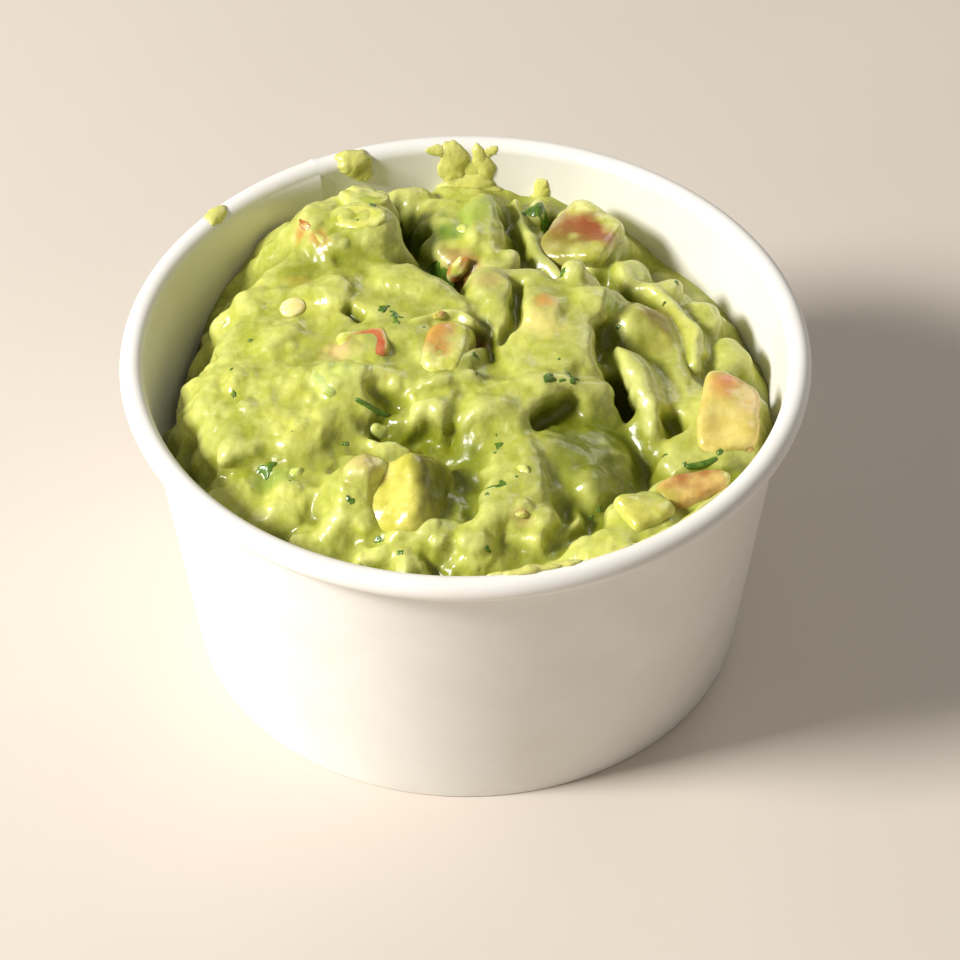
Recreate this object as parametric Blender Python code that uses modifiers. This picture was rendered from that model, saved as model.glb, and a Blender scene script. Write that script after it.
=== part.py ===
"""Guacamole in a squat white paper cup, at its real size.

The cup is two pieces of paperboard: a cone-shaped side sheet with a rolled rim and a folded hem, and a
recessed base disc whose flange stands in the hem. The guacamole is one uneven solid that fills the cup
from its base up to a heap: its surface is the smooth union of named mounds, sheets with a cliff edge,
crests and creases. The pieces of tomato, avocado and chilli pepper that show on it are solids of their
own, each seated in a pocket of the heap.

Frame: the origin is the centre of the cup's foot, +Z is up and -Y is the front.
"""
import math

import bmesh
import bpy
import numpy as np
from mathutils import Euler, Matrix, Vector

MM = 0.001                        # the dimensions below are in millimetres times MM
COLLECTION = "guacamole_cup"

# The cup
RIM_DIAMETER = 98.0 * MM
CUP_HEIGHT = 50.6 * MM
FOOT_DIAMETER = 80.4 * MM
RIM_ROLL_RADIUS = 1.7 * MM
PAPER = 0.5 * MM
HEM_HEIGHT = 5.2 * MM
HEM_WIDTH = 2.0 * MM
GAP = 0.3 * MM                    # clearance between pieces that touch
TURN_STEPS = 60

# The heap
HEAP_CLEARANCE = 0.35 * MM        # to the facets of the cup's wall
GRID = 44                         # squares along the heap's surface
BLEND = 0.7                       # mm over which neighbouring forms melt together
EDGE_SOFTENING = 0.7              # mm added to every edge radius, so that the grid can follow it
MOUND_SLOPE = 1.35                # steepest fall of a mound or a crest, mm per mm
SHEET_SLOPE = 2.6                 # steepest fall of a sheet
MOUND_POWER = 2.2                 # of the superellipse round a mound
CROWN_REACH = 1.3                 # how far out, in half widths, a crown goes on falling
CREST_CROWN = 0.5                 # mm, from the line of a crest to its half width
WALL_BAND = 0.4                   # share of the radius, next to the wall, where the contact line counts
SMOOTHING = 0.5                   # share by which a point of the grid goes to its neighbours' middle

# The pieces
LONG_PIECE = 8                    # mm, from which a piece gets one more cut along each side
ROUND_SHARE = 0.6                 # how far a piece's cube is drawn towards a ball
BALL = 1.15                       # radius of that ball, in half sides
WAVE = 0.08                       # share by which its sides swell and sink
POCKET_GROWTH = GAP * 1.2         # by which its pocket in the heap is larger on every side

ROLL_CENTRE_R = RIM_DIAMETER / 2 - RIM_ROLL_RADIUS
ROLL_CENTRE_Z = CUP_HEIGHT - RIM_ROLL_RADIUS
INSIDE_TOP_R = ROLL_CENTRE_R - RIM_ROLL_RADIUS
INSIDE_FOOT_R = FOOT_DIAMETER / 2 - PAPER
BASE_BOTTOM = HEM_HEIGHT + GAP
BASE_TOP = BASE_BOTTOM + PAPER
HEAP_BOTTOM = BASE_TOP + GAP

# Height of the line along which the heap meets the wall: bearing in degrees from +X, height in mm.
CONTACT = ((0, 31), (30, 33), (45, 37), (60, 40), (75, 42), (90, 42.5), (105, 39), (120, 33), (140, 29),
           (160, 26), (180, 24), (200, 26), (215, 29), (228, 36), (245, 40), (260, 41.5), (275, 42.5),
           (287, 45.5), (300, 47.5), (322, 47), (334, 43), (344, 34), (352, 31), (360, 31))
MIDDLE_HEIGHT = 38.5              # mm, of the filling under the mounds

# Mounds, in mm: x, y, top, half length, half width, turn in degrees, edge radius, crown.
MOUNDS = (
    # the body that carries the rest
    (-20, 6, 45.0, 20, 26, 0, 7, 4),
    (-21, -14.5, 47.2, 13, 9, 15, 4, 2),
    (27, 10.5, 39.0, 17, 30, 0, 6, 2),
    (0, -26.5, 42.5, 32, 13, 0, 5, 3),
    (6, 35, 41.0, 24, 12, 0, 5, 2),
    (-4, -9.5, 46.5, 9, 8, 0, 3, 1.5),
    # the pile behind the left slab
    (-18, 27, 51.8, 7.5, 5.5, 5, 2.2, 1.2),
    (-21.5, 26.5, 52.6, 2.6, 2.8, 0, 1.3, 0.6),
    (-19, 22, 52.2, 4, 2.4, -15, 2, 0.6),
    # the back
    (2.2, 30.5, 48.6, 2.4, 6, 3, 1.4, 0.5),
    (-1, 42, 44.5, 6, 4.5, 0, 3, 1.5),
    (-3, 36.5, 46.5, 3.5, 2.5, 0, 1.5, 0.6),
    (-3.6, 30, 47.4, 2.4, 3.4, 10, 1.6, 0.6),
    (5.2, 23, 47.6, 3, 2.8, 0, 1.5, 0.6),
    (18, 27, 43.5, 4.5, 5.5, 0, 2.5, 1.2),
    # the slab's own swells
    (-8, 13.5, 52.2, 6.5, 3.2, -32, 2.4, 0.9),
    (-19, 12, 51.9, 5, 4, 20, 3, 1.0),
    (-26, 3, 51.0, 4.5, 3.5, 40, 3, 1.2),
    (-8.5, 2, 52.0, 4.5, 2.6, 10, 2.4, 0.8),
    (-22, -6, 51.2, 4.0, 2.4, -10, 2.2, 0.8),
    (-31, -5, 49.2, 3.4, 3.0, 30, 2.2, 0.9),
    (-26.5, -12.5, 49.0, 3.6, 2.2, -20, 1.8, 0.8),
    # the middle
    (3.8, 11.5, 51.5, 3, 3.8, 0, 1.6, 0.6),
    (11.3, 7.5, 51.6, 3.2, 3.6, 0, 2, 0.6),
    (17.5, 10, 51.2, 4.2, 2.2, -5, 1.6, 0.6),
    (-4.5, -12, 50.6, 3.3, 2.4, 0, 1.4, 0.6),
    (17.2, -22.6, 46.6, 3.6, 4.2, 10, 3.4, 1.4),
    # the front
    (-15.5, -25, 48.0, 5, 7, -10, 2.5, 1.0),
    (-3, -33.5, 46.3, 3.2, 2.2, 0, 1.3, 0.5),
    (-27, -18, 45.2, 9, 9, 20, 4, 2),
    (-18, -29.5, 43.6, 8, 6, -25, 2.5, 1.2),
    (-32, -24, 43.8, 3.4, 2.8, -20, 1.4, 0.6),
    (-27, -26, 44.2, 3.8, 2.8, 0, 1.5, 0.6),
    (-20.5, -32.5, 43.8, 4, 2.6, -20, 1.5, 0.6),
    (-37.6, -9, 43.6, 2.2, 3, 25, 1, 0.5),
    (-36, -13, 42.6, 2.2, 4, 15, 1.4, 0.5),
    (-23, -23.5, 46.2, 5, 5, 0, 2.5, 1.0),
    (-27, -11, 48, 4, 2.5, 0, 2, 0.5),
    (5, -36.5, 43.8, 7, 3, 0, 2, 0.7),
    (8.6, -33.8, 46.0, 2.8, 2.2, 0, 1.2, 0.5),
    (19.5, -36.2, 47.6, 5.6, 2.6, 35, 1.3, 0.6),
    # the right
    (24.5, 23.5, 44.8, 2.4, 2.4, 0, 1.3, 0.5),
    (28.4, 19, 45.2, 2.8, 2.4, 0, 1.4, 0.5),
    (34.1, 14, 44.2, 2.6, 3.4, 0, 1.4, 0.5),
    (37.6, 6.5, 43.8, 2.8, 3.4, 0, 1.6, 0.6),
    (27.5, 11, 45.0, 3.0, 3.2, 0, 2, 0.6),
    (28.6, 3.0, 45.2, 4.6, 7.5, 8, 3.2, 0.8),
    (32.5, -1.8, 44.2, 3.6, 2.4, 0, 1.6, 0.6),
    (22, 16.5, 41.8, 3, 6, 10, 2, 0.8),
)

# Sheets that end in a cliff, in mm: top at the middle, edge radius, crown, rise per mm to the right and to
# the back, and the outline's corners, joined smoothly.
SHEETS = (
    # the big slab on the left
    (51.0, 1.8, 1.6, 0.08, 0.02, ((-38, -8), (-35, 5), (-30.5, 16), (-24, 24), (-14.5, 25), (-9, 18.5),
                                  (-3.7, 14), (0.3, 11), (1.2, 6.8), (0.4, 0.5), (-5, -6), (-13, -11),
                                  (-21, -17), (-31, -18.5))),
    # the lump at the back
    (47.8, 1.8, 1.2, 0, 0, ((-6.6, 27), (-5.2, 34), (-1, 36.5), (4, 36), (5, 24), (3, 22.5), (-6, 23.5))),
    # the lump right of the middle, with its tip, running down into the ridge
    (50.8, 1.4, 0.8, 0, 0, ((1, 10), (3, 16), (10, 16.5), (14, 13.5), (21.5, 11.5), (21.5, 9), (18.5, 3),
                            (16, -4), (9, -5.5), (5, -4), (3.5, 3.5))),
    # the ridge across the middle
    (50.0, 1.6, 0.8, 0, 0, ((-9, -2.5), (3, -2), (10, -3), (16.6, -4.5), (17, -7), (12.5, -8.8), (8.8, -12.5),
                            (4.5, -15), (-9, -11.5))),
    # the tongue that runs down to the front
    (48.2, 2.2, 0.6, 0.07, 0, ((2.0, -11.5), (4.5, -11), (8.8, -14.5), (11.6, -22), (11.4, -27), (9.6, -31),
                               (6, -33), (1.5, -33.5), (1.5, -29), (2.2, -21))),
    # the shelf around the avocado cube
    (45.8, 1.0, 0.6, 0, 0, ((-20.0, -18), (-20.2, -22.8), (-17.3, -28.2), (-13.4, -33.3), (-1.2, -35),
                            (-2.5, -24.5), (-12, -14.5))),
    # the smooth slope from the ridge down to the right and the front
    (45.9, 5.0, 0.4, -0.36, 0.18, ((7.5, -12), (14, -4), (20, -6), (25, -13), (28, -20), (26, -29),
                                   (20.5, -32.5), (13, -31.5), (8.5, -26), (7.5, -18))),
    # the mass on the right
    (45.2, 2.2, 1.2, 0.05, 0, ((30, -2.5), (34, -2.0), (41, -3), (41, -8), (38, -18), (32, -20.8), (28, -20),
                               (28, -12))),
)

# Crests, in mm: half width, edge radius, and the points of the route with their heights.
CRESTS = (
    # behind the back lump
    (0.7, 1.3, ((7.5, 40, 45.2), (9.4, 32.5, 46.6), (11.2, 26, 46.6), (13.6, 20.5, 45.6))),
    # the long ridge on the right
    (1.2, 1.6, ((20.5, 27, 44.4), (25, 20.5, 45.4), (29.2, 15, 45.9), (32, 9.2, 45.9), (33.4, 3.6, 45.0))),
    # the curl
    (1.5, 3.6, ((21.4, 2.4, 48.6), (23.8, -1.4, 48.6), (25.8, -5.4, 47.6), (26.8, -9, 46.2))),
    # the slab's lip over the tomato
    (0.7, 1.0, ((-6.6, 3.6, 52.2), (-2.2, 5.6, 52.4), (0.6, 4.2, 51.8))),
)

# Creases, in mm: half width, depth, and the points of the route.
CREASES = (
    (1.6, 4.0, ((13.6, 36), (13.8, 30), (15.5, 25))),
    (3.4, 12.0, ((-11.6, 39.5), (-10.2, 34.5), (-8.8, 30.5))),
    (1.6, 2.6, ((-7, 25.5), (-3.5, 22.6), (1, 19.2))),
    (1.7, 8.0, ((21.2, -2.6), (21.8, -5.6))),
    (1.6, 2.8, ((22.6, 11.0), (21.5, 6), (19.6, 1.5))),
    (1.3, 4.5, ((9.8, -11.6), (12, -10.4), (14.6, -9.2))),
    (1.9, 4.2, ((-12, -14.5), (-7, -14.6), (-2.5, -14.5))),
    (1.2, 1.5, ((11.4, -13.5), (12.6, -18), (13.0, -23), (12.4, -28))),
    (1.5, 4.5, ((28.3, -7.5), (29.7, -9.8))),
    (2.2, 2.6, ((-0.4, -17.0), (-0.2, -23.5), (-1.4, -29.0))),
)

# Pieces in the paste, in mm and degrees: name, material, centre, size, turns about x, y and z, taper.
PIECES = (
    ("tomato_right", "tomato_pale", (37.0, -9.6, 43.8), (7.6, 12.8, 7.6), (8, 0, -6), 0.12),
    ("tomato_back", "tomato", (17.6, 30.2, 43.6), (9.4, 11.4, 7.0), (6, -6, -30), 0.12),
    ("tomato_centre", "tomato_coated", (-3.0, -1.2, 49.6), (6.4, 9.0, 5.2), (8, 6, -14), -0.15),
    ("tomato_left", "tomato", (-14.2, -0.6, 50.0), (6.4, 6.0, 4.0), (4, -6, 12), 0.05),
    ("avocado_cube", "avocado", (-8.0, -26.6, 44.0), (10.6, 11.4, 10.4), (20, -32, -6), -0.10),
    ("avocado_right", "avocado", (24.4, -31.6, 46.2), (6.6, 6.0, 6.0), (0, 6, 30), 0.10),
    ("avocado_slice", "avocado_browned", (31.4, -26.6, 46.4), (8.2, 4.4, 5.0), (0, -4, 18), 0.20),
    ("avocado_pile", "avocado", (-15.1, 25.0, 52.4), (6.2, 4.4, 3.8), (6, -6, -8), 0.10),
    ("pepper_pile", "pepper", (-14.8, 30.2, 51.6), (6.4, 3.2, 3.6), (0, 4, 6), 0.05),
    ("pepper_left", "pepper", (-17.2, -6.8, 50.4), (7.2, 5.2, 3.0), (-6, -4, 22), 0.20),
)

# Looks of the materials: sRGB colour and roughness.
LOOKS = {
    "white_paper": ((0.94, 0.93, 0.91), 0.55),
    "avocado_paste": ((0.68, 0.71, 0.33), 0.35),
    "avocado": ((0.78, 0.79, 0.42), 0.35),
    "avocado_browned": ((0.80, 0.66, 0.40), 0.40),
    "tomato": ((0.72, 0.40, 0.22), 0.30),
    "tomato_pale": ((0.84, 0.68, 0.40), 0.35),
    "tomato_coated": ((0.74, 0.62, 0.30), 0.35),
    "pepper": ((0.46, 0.62, 0.28), 0.30),
}


def clear_scene():
    """Remove whatever the file holds, so that the model starts from nothing."""
    for old in list(bpy.data.objects):
        bpy.data.objects.remove(old, do_unlink=True)


def new_collection(name):
    """A collection linked to the scene."""
    collection = bpy.data.collections.new(name)
    bpy.context.scene.collection.children.link(collection)
    return collection


def linear(channel):
    """One sRGB channel turned into its linear value."""
    return channel / 12.92 if channel <= 0.04045 else ((channel + 0.055) / 1.055) ** 2.4


def material(object_name, look):
    """A Principled material of its own for one object."""
    colour, roughness = LOOKS[look]
    made = bpy.data.materials.new(object_name + "_" + look)
    made.use_nodes = True
    shader = made.node_tree.nodes["Principled BSDF"]
    shader.inputs["Base Color"].default_value = (*[linear(channel) for channel in colour], 1.0)
    shader.inputs["Roughness"].default_value = roughness
    shader.inputs["Metallic"].default_value = 0.0
    return made


def add_object(name, mesh, look, collection):
    """An object of the given mesh in the given collection."""
    made = bpy.data.objects.new(name, mesh)
    mesh.materials.append(material(name, look))
    collection.objects.link(made)
    return made


def turned(name, profile, closed, look, collection):
    """A turned piece: the profile of (radius, height) points swept round Z by a Screw modifier.

    The profile runs down its outer side, so that the faces point outwards.
    """
    mesh = bpy.data.meshes.new(name)
    points = [(radius, 0.0, height) for radius, height in profile]
    edges = [(i, i + 1) for i in range(len(points) - 1)]
    if closed:
        edges.append((len(points) - 1, 0))
    mesh.from_pydata(points, edges, [])
    made = add_object(name, mesh, look, collection)
    screw = made.modifiers.new("Turn", "SCREW")
    screw.axis = "Z"
    screw.angle = 2 * math.pi
    screw.steps = TURN_STEPS
    screw.render_steps = TURN_STEPS
    screw.use_merge_vertices = True
    screw.merge_threshold = 0.00001
    screw.use_smooth_shade = True
    return made


def inside_radius(height):
    """Inner radius of the cup's side sheet at a height."""
    return INSIDE_FOOT_R + (INSIDE_TOP_R - INSIDE_FOOT_R) * height / ROLL_CENTRE_Z


def cup_wall(collection):
    """The side sheet: a cone of paperboard, rolled outwards at the rim and folded inwards at the foot.

    The roll is a solid ring. At the foot the fold stands inside the sheet, with a slot between them for
    the flange of the base.
    """
    roll_end = math.acos((ROLL_CENTRE_R - INSIDE_TOP_R - PAPER) / RIM_ROLL_RADIUS) - math.pi
    roll = [math.radians(angle) for angle in (135, 90, 45, 0, -45, -90)] + [roll_end]
    profile = [(ROLL_CENTRE_R + RIM_ROLL_RADIUS * math.cos(a), ROLL_CENTRE_Z + RIM_ROLL_RADIUS * math.sin(a))
               for a in roll]
    foot_r = FOOT_DIAMETER / 2
    fold_r = foot_r - HEM_WIDTH
    rounding = 0.3 * MM
    lean = (INSIDE_TOP_R - INSIDE_FOOT_R) / ROLL_CENTRE_Z
    slot_floor = 2 * rounding
    fold = PAPER * 0.9
    profile += [
        (foot_r, rounding),
        (foot_r - rounding, 0.0),
        (fold_r + rounding, 0.0),
        (fold_r, rounding),
        (fold_r + lean * HEM_HEIGHT, HEM_HEIGHT),
        (fold_r + lean * HEM_HEIGHT + fold, HEM_HEIGHT),
        (fold_r + lean * slot_floor + fold, slot_floor),
        (inside_radius(slot_floor), slot_floor),
        (INSIDE_TOP_R, ROLL_CENTRE_Z),
    ]
    return turned("cup_wall", profile, True, "white_paper", collection)


def cup_base(collection):
    """The recessed base disc, with a flange that stands in the slot of the hem."""
    flange_foot = 1.0 * MM
    flange = PAPER * 0.9
    corner = 0.2 * MM
    profile = [
        (0.0, BASE_TOP),
        (inside_radius(BASE_TOP) - GAP - corner, BASE_TOP),
        (inside_radius(BASE_TOP - corner) - GAP, BASE_TOP - corner),
        (inside_radius(flange_foot) - GAP, flange_foot),
        (inside_radius(flange_foot) - GAP - flange, flange_foot),
        (inside_radius(BASE_BOTTOM) - GAP - flange, BASE_BOTTOM),
        (0.0, BASE_BOTTOM),
    ]
    return turned("cup_base", profile, False, "white_paper", collection)


def cliff(inward, edge, steepest):
    """How far a form falls at a distance inward from its outline: nothing past the edge radius, then a
    parabola that grows steeper up to the steepest slope, and straight on from there."""
    edge = edge + EDGE_SOFTENING
    out = 1 - np.minimum(inward / edge, 1.0)
    return edge * np.where(out < steepest, 0.5 * out ** 2, steepest * (out - 0.5 * steepest))


def smooth_route(points, closed, steps=5):
    """Points along the Catmull-Rom curve through a few corners."""
    corners = np.array(points, float)
    if closed:
        corners = np.vstack([corners[-1], corners, corners[:2]])
    else:
        corners = np.vstack([2 * corners[0] - corners[1], corners, 2 * corners[-1] - corners[-2]])
    route = []
    for a, b, c, d in zip(corners, corners[1:], corners[2:], corners[3:]):
        for t in np.arange(steps) / steps:
            route.append(0.5 * (2 * b + (c - a) * t + (2 * a - 5 * b + 4 * c - d) * t ** 2
                                + (3 * b - a - 3 * c + d) * t ** 3))
    if not closed:
        route.append(corners[-2])
    return np.array(route)


def distance_to_route(x, y, route, closed):
    """Distance to a route, and the third coordinate (the height) at the nearest place if it has one."""
    ends = np.roll(route, -1, axis=0) if closed else route[1:]
    best = np.full(x.shape, np.inf)
    height = np.zeros(x.shape)
    for start, end in zip(route, ends):
        run = end[:2] - start[:2]
        t = np.clip(((x - start[0]) * run[0] + (y - start[1]) * run[1]) / (run @ run), 0, 1)
        away = np.hypot(x - start[0] - t * run[0], y - start[1] - t * run[1])
        if len(start) == 3:
            height = np.where(away < best, start[2] + t * (end[2] - start[2]), height)
        best = np.minimum(best, away)
    return best, height


def is_inside(x, y, route):
    """True where a point lies inside a closed route (a ray towards +X crosses it an odd number of times)."""
    odd = np.zeros(x.shape, bool)
    for (x0, y0), (x1, y1) in zip(route, np.roll(route, -1, axis=0)):
        if y0 != y1:
            odd ^= ((y0 > y) != (y1 > y)) & (x < (x1 - x0) * (y - y0) / (y1 - y0) + x0)
    return odd


def mound_height(x, y, mound):
    """A flat-topped mound on a superellipse outline."""
    centre_x, centre_y, top, half_length, half_width, turn, edge, crown = mound
    c, s = math.cos(math.radians(turn)), math.sin(math.radians(turn))
    along = (x - centre_x) * c + (y - centre_y) * s
    across = (y - centre_y) * c - (x - centre_x) * s
    reach = np.abs(along / half_length) ** MOUND_POWER + np.abs(across / half_width) ** MOUND_POWER
    reach = reach ** (1 / MOUND_POWER)
    inward = (1 - reach) * min(half_length, half_width)
    return top - crown * np.minimum(reach, CROWN_REACH) ** 2 - cliff(inward, edge, MOUND_SLOPE)


def sheet_height(x, y, sheet):
    """A sheet of paste: tilted and slightly crowned inside its outline, with a cliff along it."""
    top, edge, crown, rise_x, rise_y, corners = sheet
    middle_x, middle_y = np.mean(corners, axis=0)
    route = smooth_route(corners, True)
    away, _ = distance_to_route(x, y, route, True)
    inward = np.where(is_inside(x, y, route), away, -away)
    reach = 1 - np.clip(inward / inward.max(), 0, 1)
    tilt = rise_x * (x - middle_x) + rise_y * (y - middle_y)
    return top + tilt - crown * reach ** 2 - cliff(inward, edge, SHEET_SLOPE)


def crest_height(x, y, crest):
    """A narrow crest along a route."""
    half_width, edge, corners = crest
    away, height = distance_to_route(x, y, smooth_route(corners, False), False)
    crown = CREST_CROWN * np.clip(away / half_width, 0, CROWN_REACH) ** 2
    return height - crown - cliff(half_width - away, edge, MOUND_SLOPE)


def heap_height(x, y):
    """Height in mm of the guacamole over a point in mm: the smooth maximum of all forms, less creases."""
    reach = np.hypot(x, y) / (INSIDE_TOP_R / MM)
    bearing = np.degrees(np.arctan2(y, x)) % 360
    contact = np.interp(bearing, *zip(*CONTACT))
    rise = np.clip(1 - (1 - reach) / WALL_BAND, 0, 1)
    rise = rise * rise * (3 - 2 * rise)
    forms = [MIDDLE_HEIGHT + (contact - MIDDLE_HEIGHT) * rise]
    forms += [mound_height(x, y, mound) for mound in MOUNDS]
    forms += [sheet_height(x, y, sheet) for sheet in SHEETS]
    forms += [crest_height(x, y, crest) for crest in CRESTS]
    highest = np.max(forms, axis=0)
    height = highest + BLEND * np.log(sum(np.exp((form - highest) / BLEND) for form in forms))
    for half_width, depth, corners in CREASES:
        away, _ = distance_to_route(x, y, smooth_route(corners, False), False)
        height = height - depth * np.exp(-(away / half_width) ** 2)
    return height


def heap(collection):
    """The guacamole: a grid mapped onto a disc and raised to the heap's height, closed by a skirt that
    follows the cup's wall and a flat bottom."""
    mesh = bpy.data.meshes.new("guacamole")
    bm = bmesh.new()
    bmesh.ops.create_grid(bm, x_segments=GRID, y_segments=GRID, size=1.0)
    square = np.array([vertex.co[:2] for vertex in bm.verts])
    disc_x = square[:, 0] * np.sqrt(1 - square[:, 1] ** 2 / 2)
    disc_y = square[:, 1] * np.sqrt(1 - square[:, 0] ** 2 / 2)
    flat_r = INSIDE_TOP_R / MM
    heights = heap_height(disc_x * flat_r, disc_y * flat_r) * MM
    reach = np.hypot(disc_x, disc_y)
    lean = np.clip((reach - 0.5) / 0.5, 0, 1)
    for vertex, dx, dy, height, inward in zip(bm.verts, disc_x, disc_y, heights, lean):
        wall_r = inside_radius(height) - HEAP_CLEARANCE
        radius = INSIDE_TOP_R + (wall_r - INSIDE_TOP_R) * inward
        vertex.co = (dx * radius, dy * radius, height)
    inner = [vertex for vertex in bm.verts if not vertex.is_boundary]
    bmesh.ops.smooth_vert(bm, verts=inner, factor=SMOOTHING, use_axis_z=True)
    border = [edge for edge in bm.edges if edge.is_boundary]
    skirt = bmesh.ops.extrude_edge_only(bm, edges=border)["geom"]
    foot_r = inside_radius(HEAP_BOTTOM) - HEAP_CLEARANCE
    for vertex in skirt:
        if isinstance(vertex, bmesh.types.BMVert):
            scale = foot_r / math.hypot(vertex.co.x, vertex.co.y)
            vertex.co = (vertex.co.x * scale, vertex.co.y * scale, HEAP_BOTTOM)
    bmesh.ops.contextual_create(bm, geom=[edge for edge in bm.edges if edge.is_boundary])
    bmesh.ops.recalc_face_normals(bm, faces=bm.faces)
    bmesh.ops.triangulate(bm, faces=bm.faces)
    bm.to_mesh(mesh)
    bm.free()
    mesh.shade_smooth()
    return add_object("guacamole", mesh, "avocado_paste", collection)


def chunk_mesh(name, size, taper, grow):
    """A hand-cut piece: a cube with its edges worn round, narrower at one end, with an uneven surface.

    Every side is grown outwards by the given length, which makes the pocket's cutter.
    """
    cuts = 3 if max(size) > LONG_PIECE else 2
    bm = bmesh.new()
    bmesh.ops.create_cube(bm, size=2.0)
    bmesh.ops.subdivide_edges(bm, edges=bm.edges, cuts=cuts, use_grid_fill=True)
    phase = sum(size)
    for vertex in bm.verts:
        ball = vertex.co.normalized() * BALL
        place = vertex.co.lerp(ball, ROUND_SHARE)
        wave = 1 + WAVE * math.sin(2.9 * place.x + phase) * math.cos(2.3 * place.y + 1.7 * place.z + phase)
        place *= wave
        place.x *= 1 + taper * place.z
        place.y *= 1 - taper * place.x
        vertex.co = [coordinate * (length * MM / 2 + grow) for coordinate, length in zip(place, size)]
    mesh = bpy.data.meshes.new(name)
    bm.to_mesh(mesh)
    bm.free()
    mesh.shade_smooth()
    return mesh


def seat_piece(piece, filling, collection, cutters):
    """One piece in its place, and its pocket in the heap."""
    name, look, centre, size, turns, taper = piece
    turn = Euler([math.radians(t) for t in turns]).to_matrix().to_4x4()
    place = Matrix.Translation(Vector(centre) * MM) @ turn
    made = add_object(name, chunk_mesh(name, size, taper, 0.0), look, collection)
    made.matrix_world = place
    cutter = bpy.data.objects.new("pocket_" + name, chunk_mesh("pocket_" + name, size, taper, POCKET_GROWTH))
    cutters.objects.link(cutter)
    cutter.matrix_world = place
    cutter.hide_render = True
    cutter.display_type = "WIRE"
    pocket = filling.modifiers.new("Pocket " + name, "BOOLEAN")
    pocket.operation = "DIFFERENCE"
    pocket.solver = "EXACT"
    pocket.object = cutter


def main():
    clear_scene()
    parts = new_collection(COLLECTION)
    cutters = new_collection("cutters")
    cup_wall(parts)
    cup_base(parts)
    filling = heap(parts)
    for piece in PIECES:
        seat_piece(piece, filling, parts, cutters)


main()
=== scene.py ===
"""Guacamole in a squat white paper cup: the finished surfaces, the studio stage and the camera.

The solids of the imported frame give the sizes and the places. Every surface here is worked out with numpy
in millimetres, in the frame's own axes (+Z up, -Y the front), and goes into its mesh in metres.
"""
import functools
import math

import bpy
import numpy as np
from mathutils import Euler, Matrix, Vector


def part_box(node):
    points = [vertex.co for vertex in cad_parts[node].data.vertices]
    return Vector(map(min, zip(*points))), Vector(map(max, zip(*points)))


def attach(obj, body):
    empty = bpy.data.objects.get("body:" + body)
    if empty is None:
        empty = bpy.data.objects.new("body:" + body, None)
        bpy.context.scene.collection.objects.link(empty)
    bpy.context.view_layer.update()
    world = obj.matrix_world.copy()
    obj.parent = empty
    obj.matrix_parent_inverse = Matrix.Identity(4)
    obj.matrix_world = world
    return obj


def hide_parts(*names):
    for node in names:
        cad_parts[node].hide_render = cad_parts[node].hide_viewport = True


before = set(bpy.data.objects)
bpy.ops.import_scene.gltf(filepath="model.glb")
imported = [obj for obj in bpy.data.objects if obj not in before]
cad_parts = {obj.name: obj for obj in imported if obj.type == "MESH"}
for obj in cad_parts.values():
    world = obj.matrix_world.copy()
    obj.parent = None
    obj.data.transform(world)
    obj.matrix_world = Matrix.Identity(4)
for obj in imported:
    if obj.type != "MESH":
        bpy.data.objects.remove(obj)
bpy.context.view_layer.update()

bl_info = {
    "name": "Guacamole in a paper cup",
    "version": (1, 0, 0),
    "blender": (4, 5, 0),
    "location": "View3D > Sidebar > Guacamole",
    "description": "Dresses the packed cup of guacamole: paper, paste, vegetable pieces, herbs and stage",
    "category": "Add Mesh",
}

MM = 0.001
BODY = "root"


# ---------------------------------------------------------------------------------------------------
# Sizes read from the frame, in mm
# ---------------------------------------------------------------------------------------------------

def box_mm(node):
    """Lowest and highest corner of a node of the frame, in mm."""
    low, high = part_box(node)
    return np.array(low) / MM, np.array(high) / MM


RIM_R = box_mm("cup_wall")[1][0]
CUP_HEIGHT = box_mm("cup_wall")[1][2]
ROLL_R = 1.7                                  # radius of the rolled rim
ROLL_CENTRE_R = RIM_R - ROLL_R
ROLL_CENTRE_Z = CUP_HEIGHT - ROLL_R
PAPER = 0.5
HEM_WIDTH = 2.0
HEM_HEIGHT = 5.2
FOOT_R = 40.2
INSIDE_TOP_R = ROLL_CENTRE_R - ROLL_R
INSIDE_FOOT_R = FOOT_R - PAPER
LEAN = (INSIDE_TOP_R - INSIDE_FOOT_R) / ROLL_CENTRE_Z
BASE_TOP = box_mm("cup_base")[1][2]
HEAP_BOTTOM = box_mm("guacamole")[0][2]


def inside_radius(height):
    """Inner radius of the side sheet at a height: a straight cone from the foot to the roll."""
    return INSIDE_FOOT_R + LEAN * height


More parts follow.
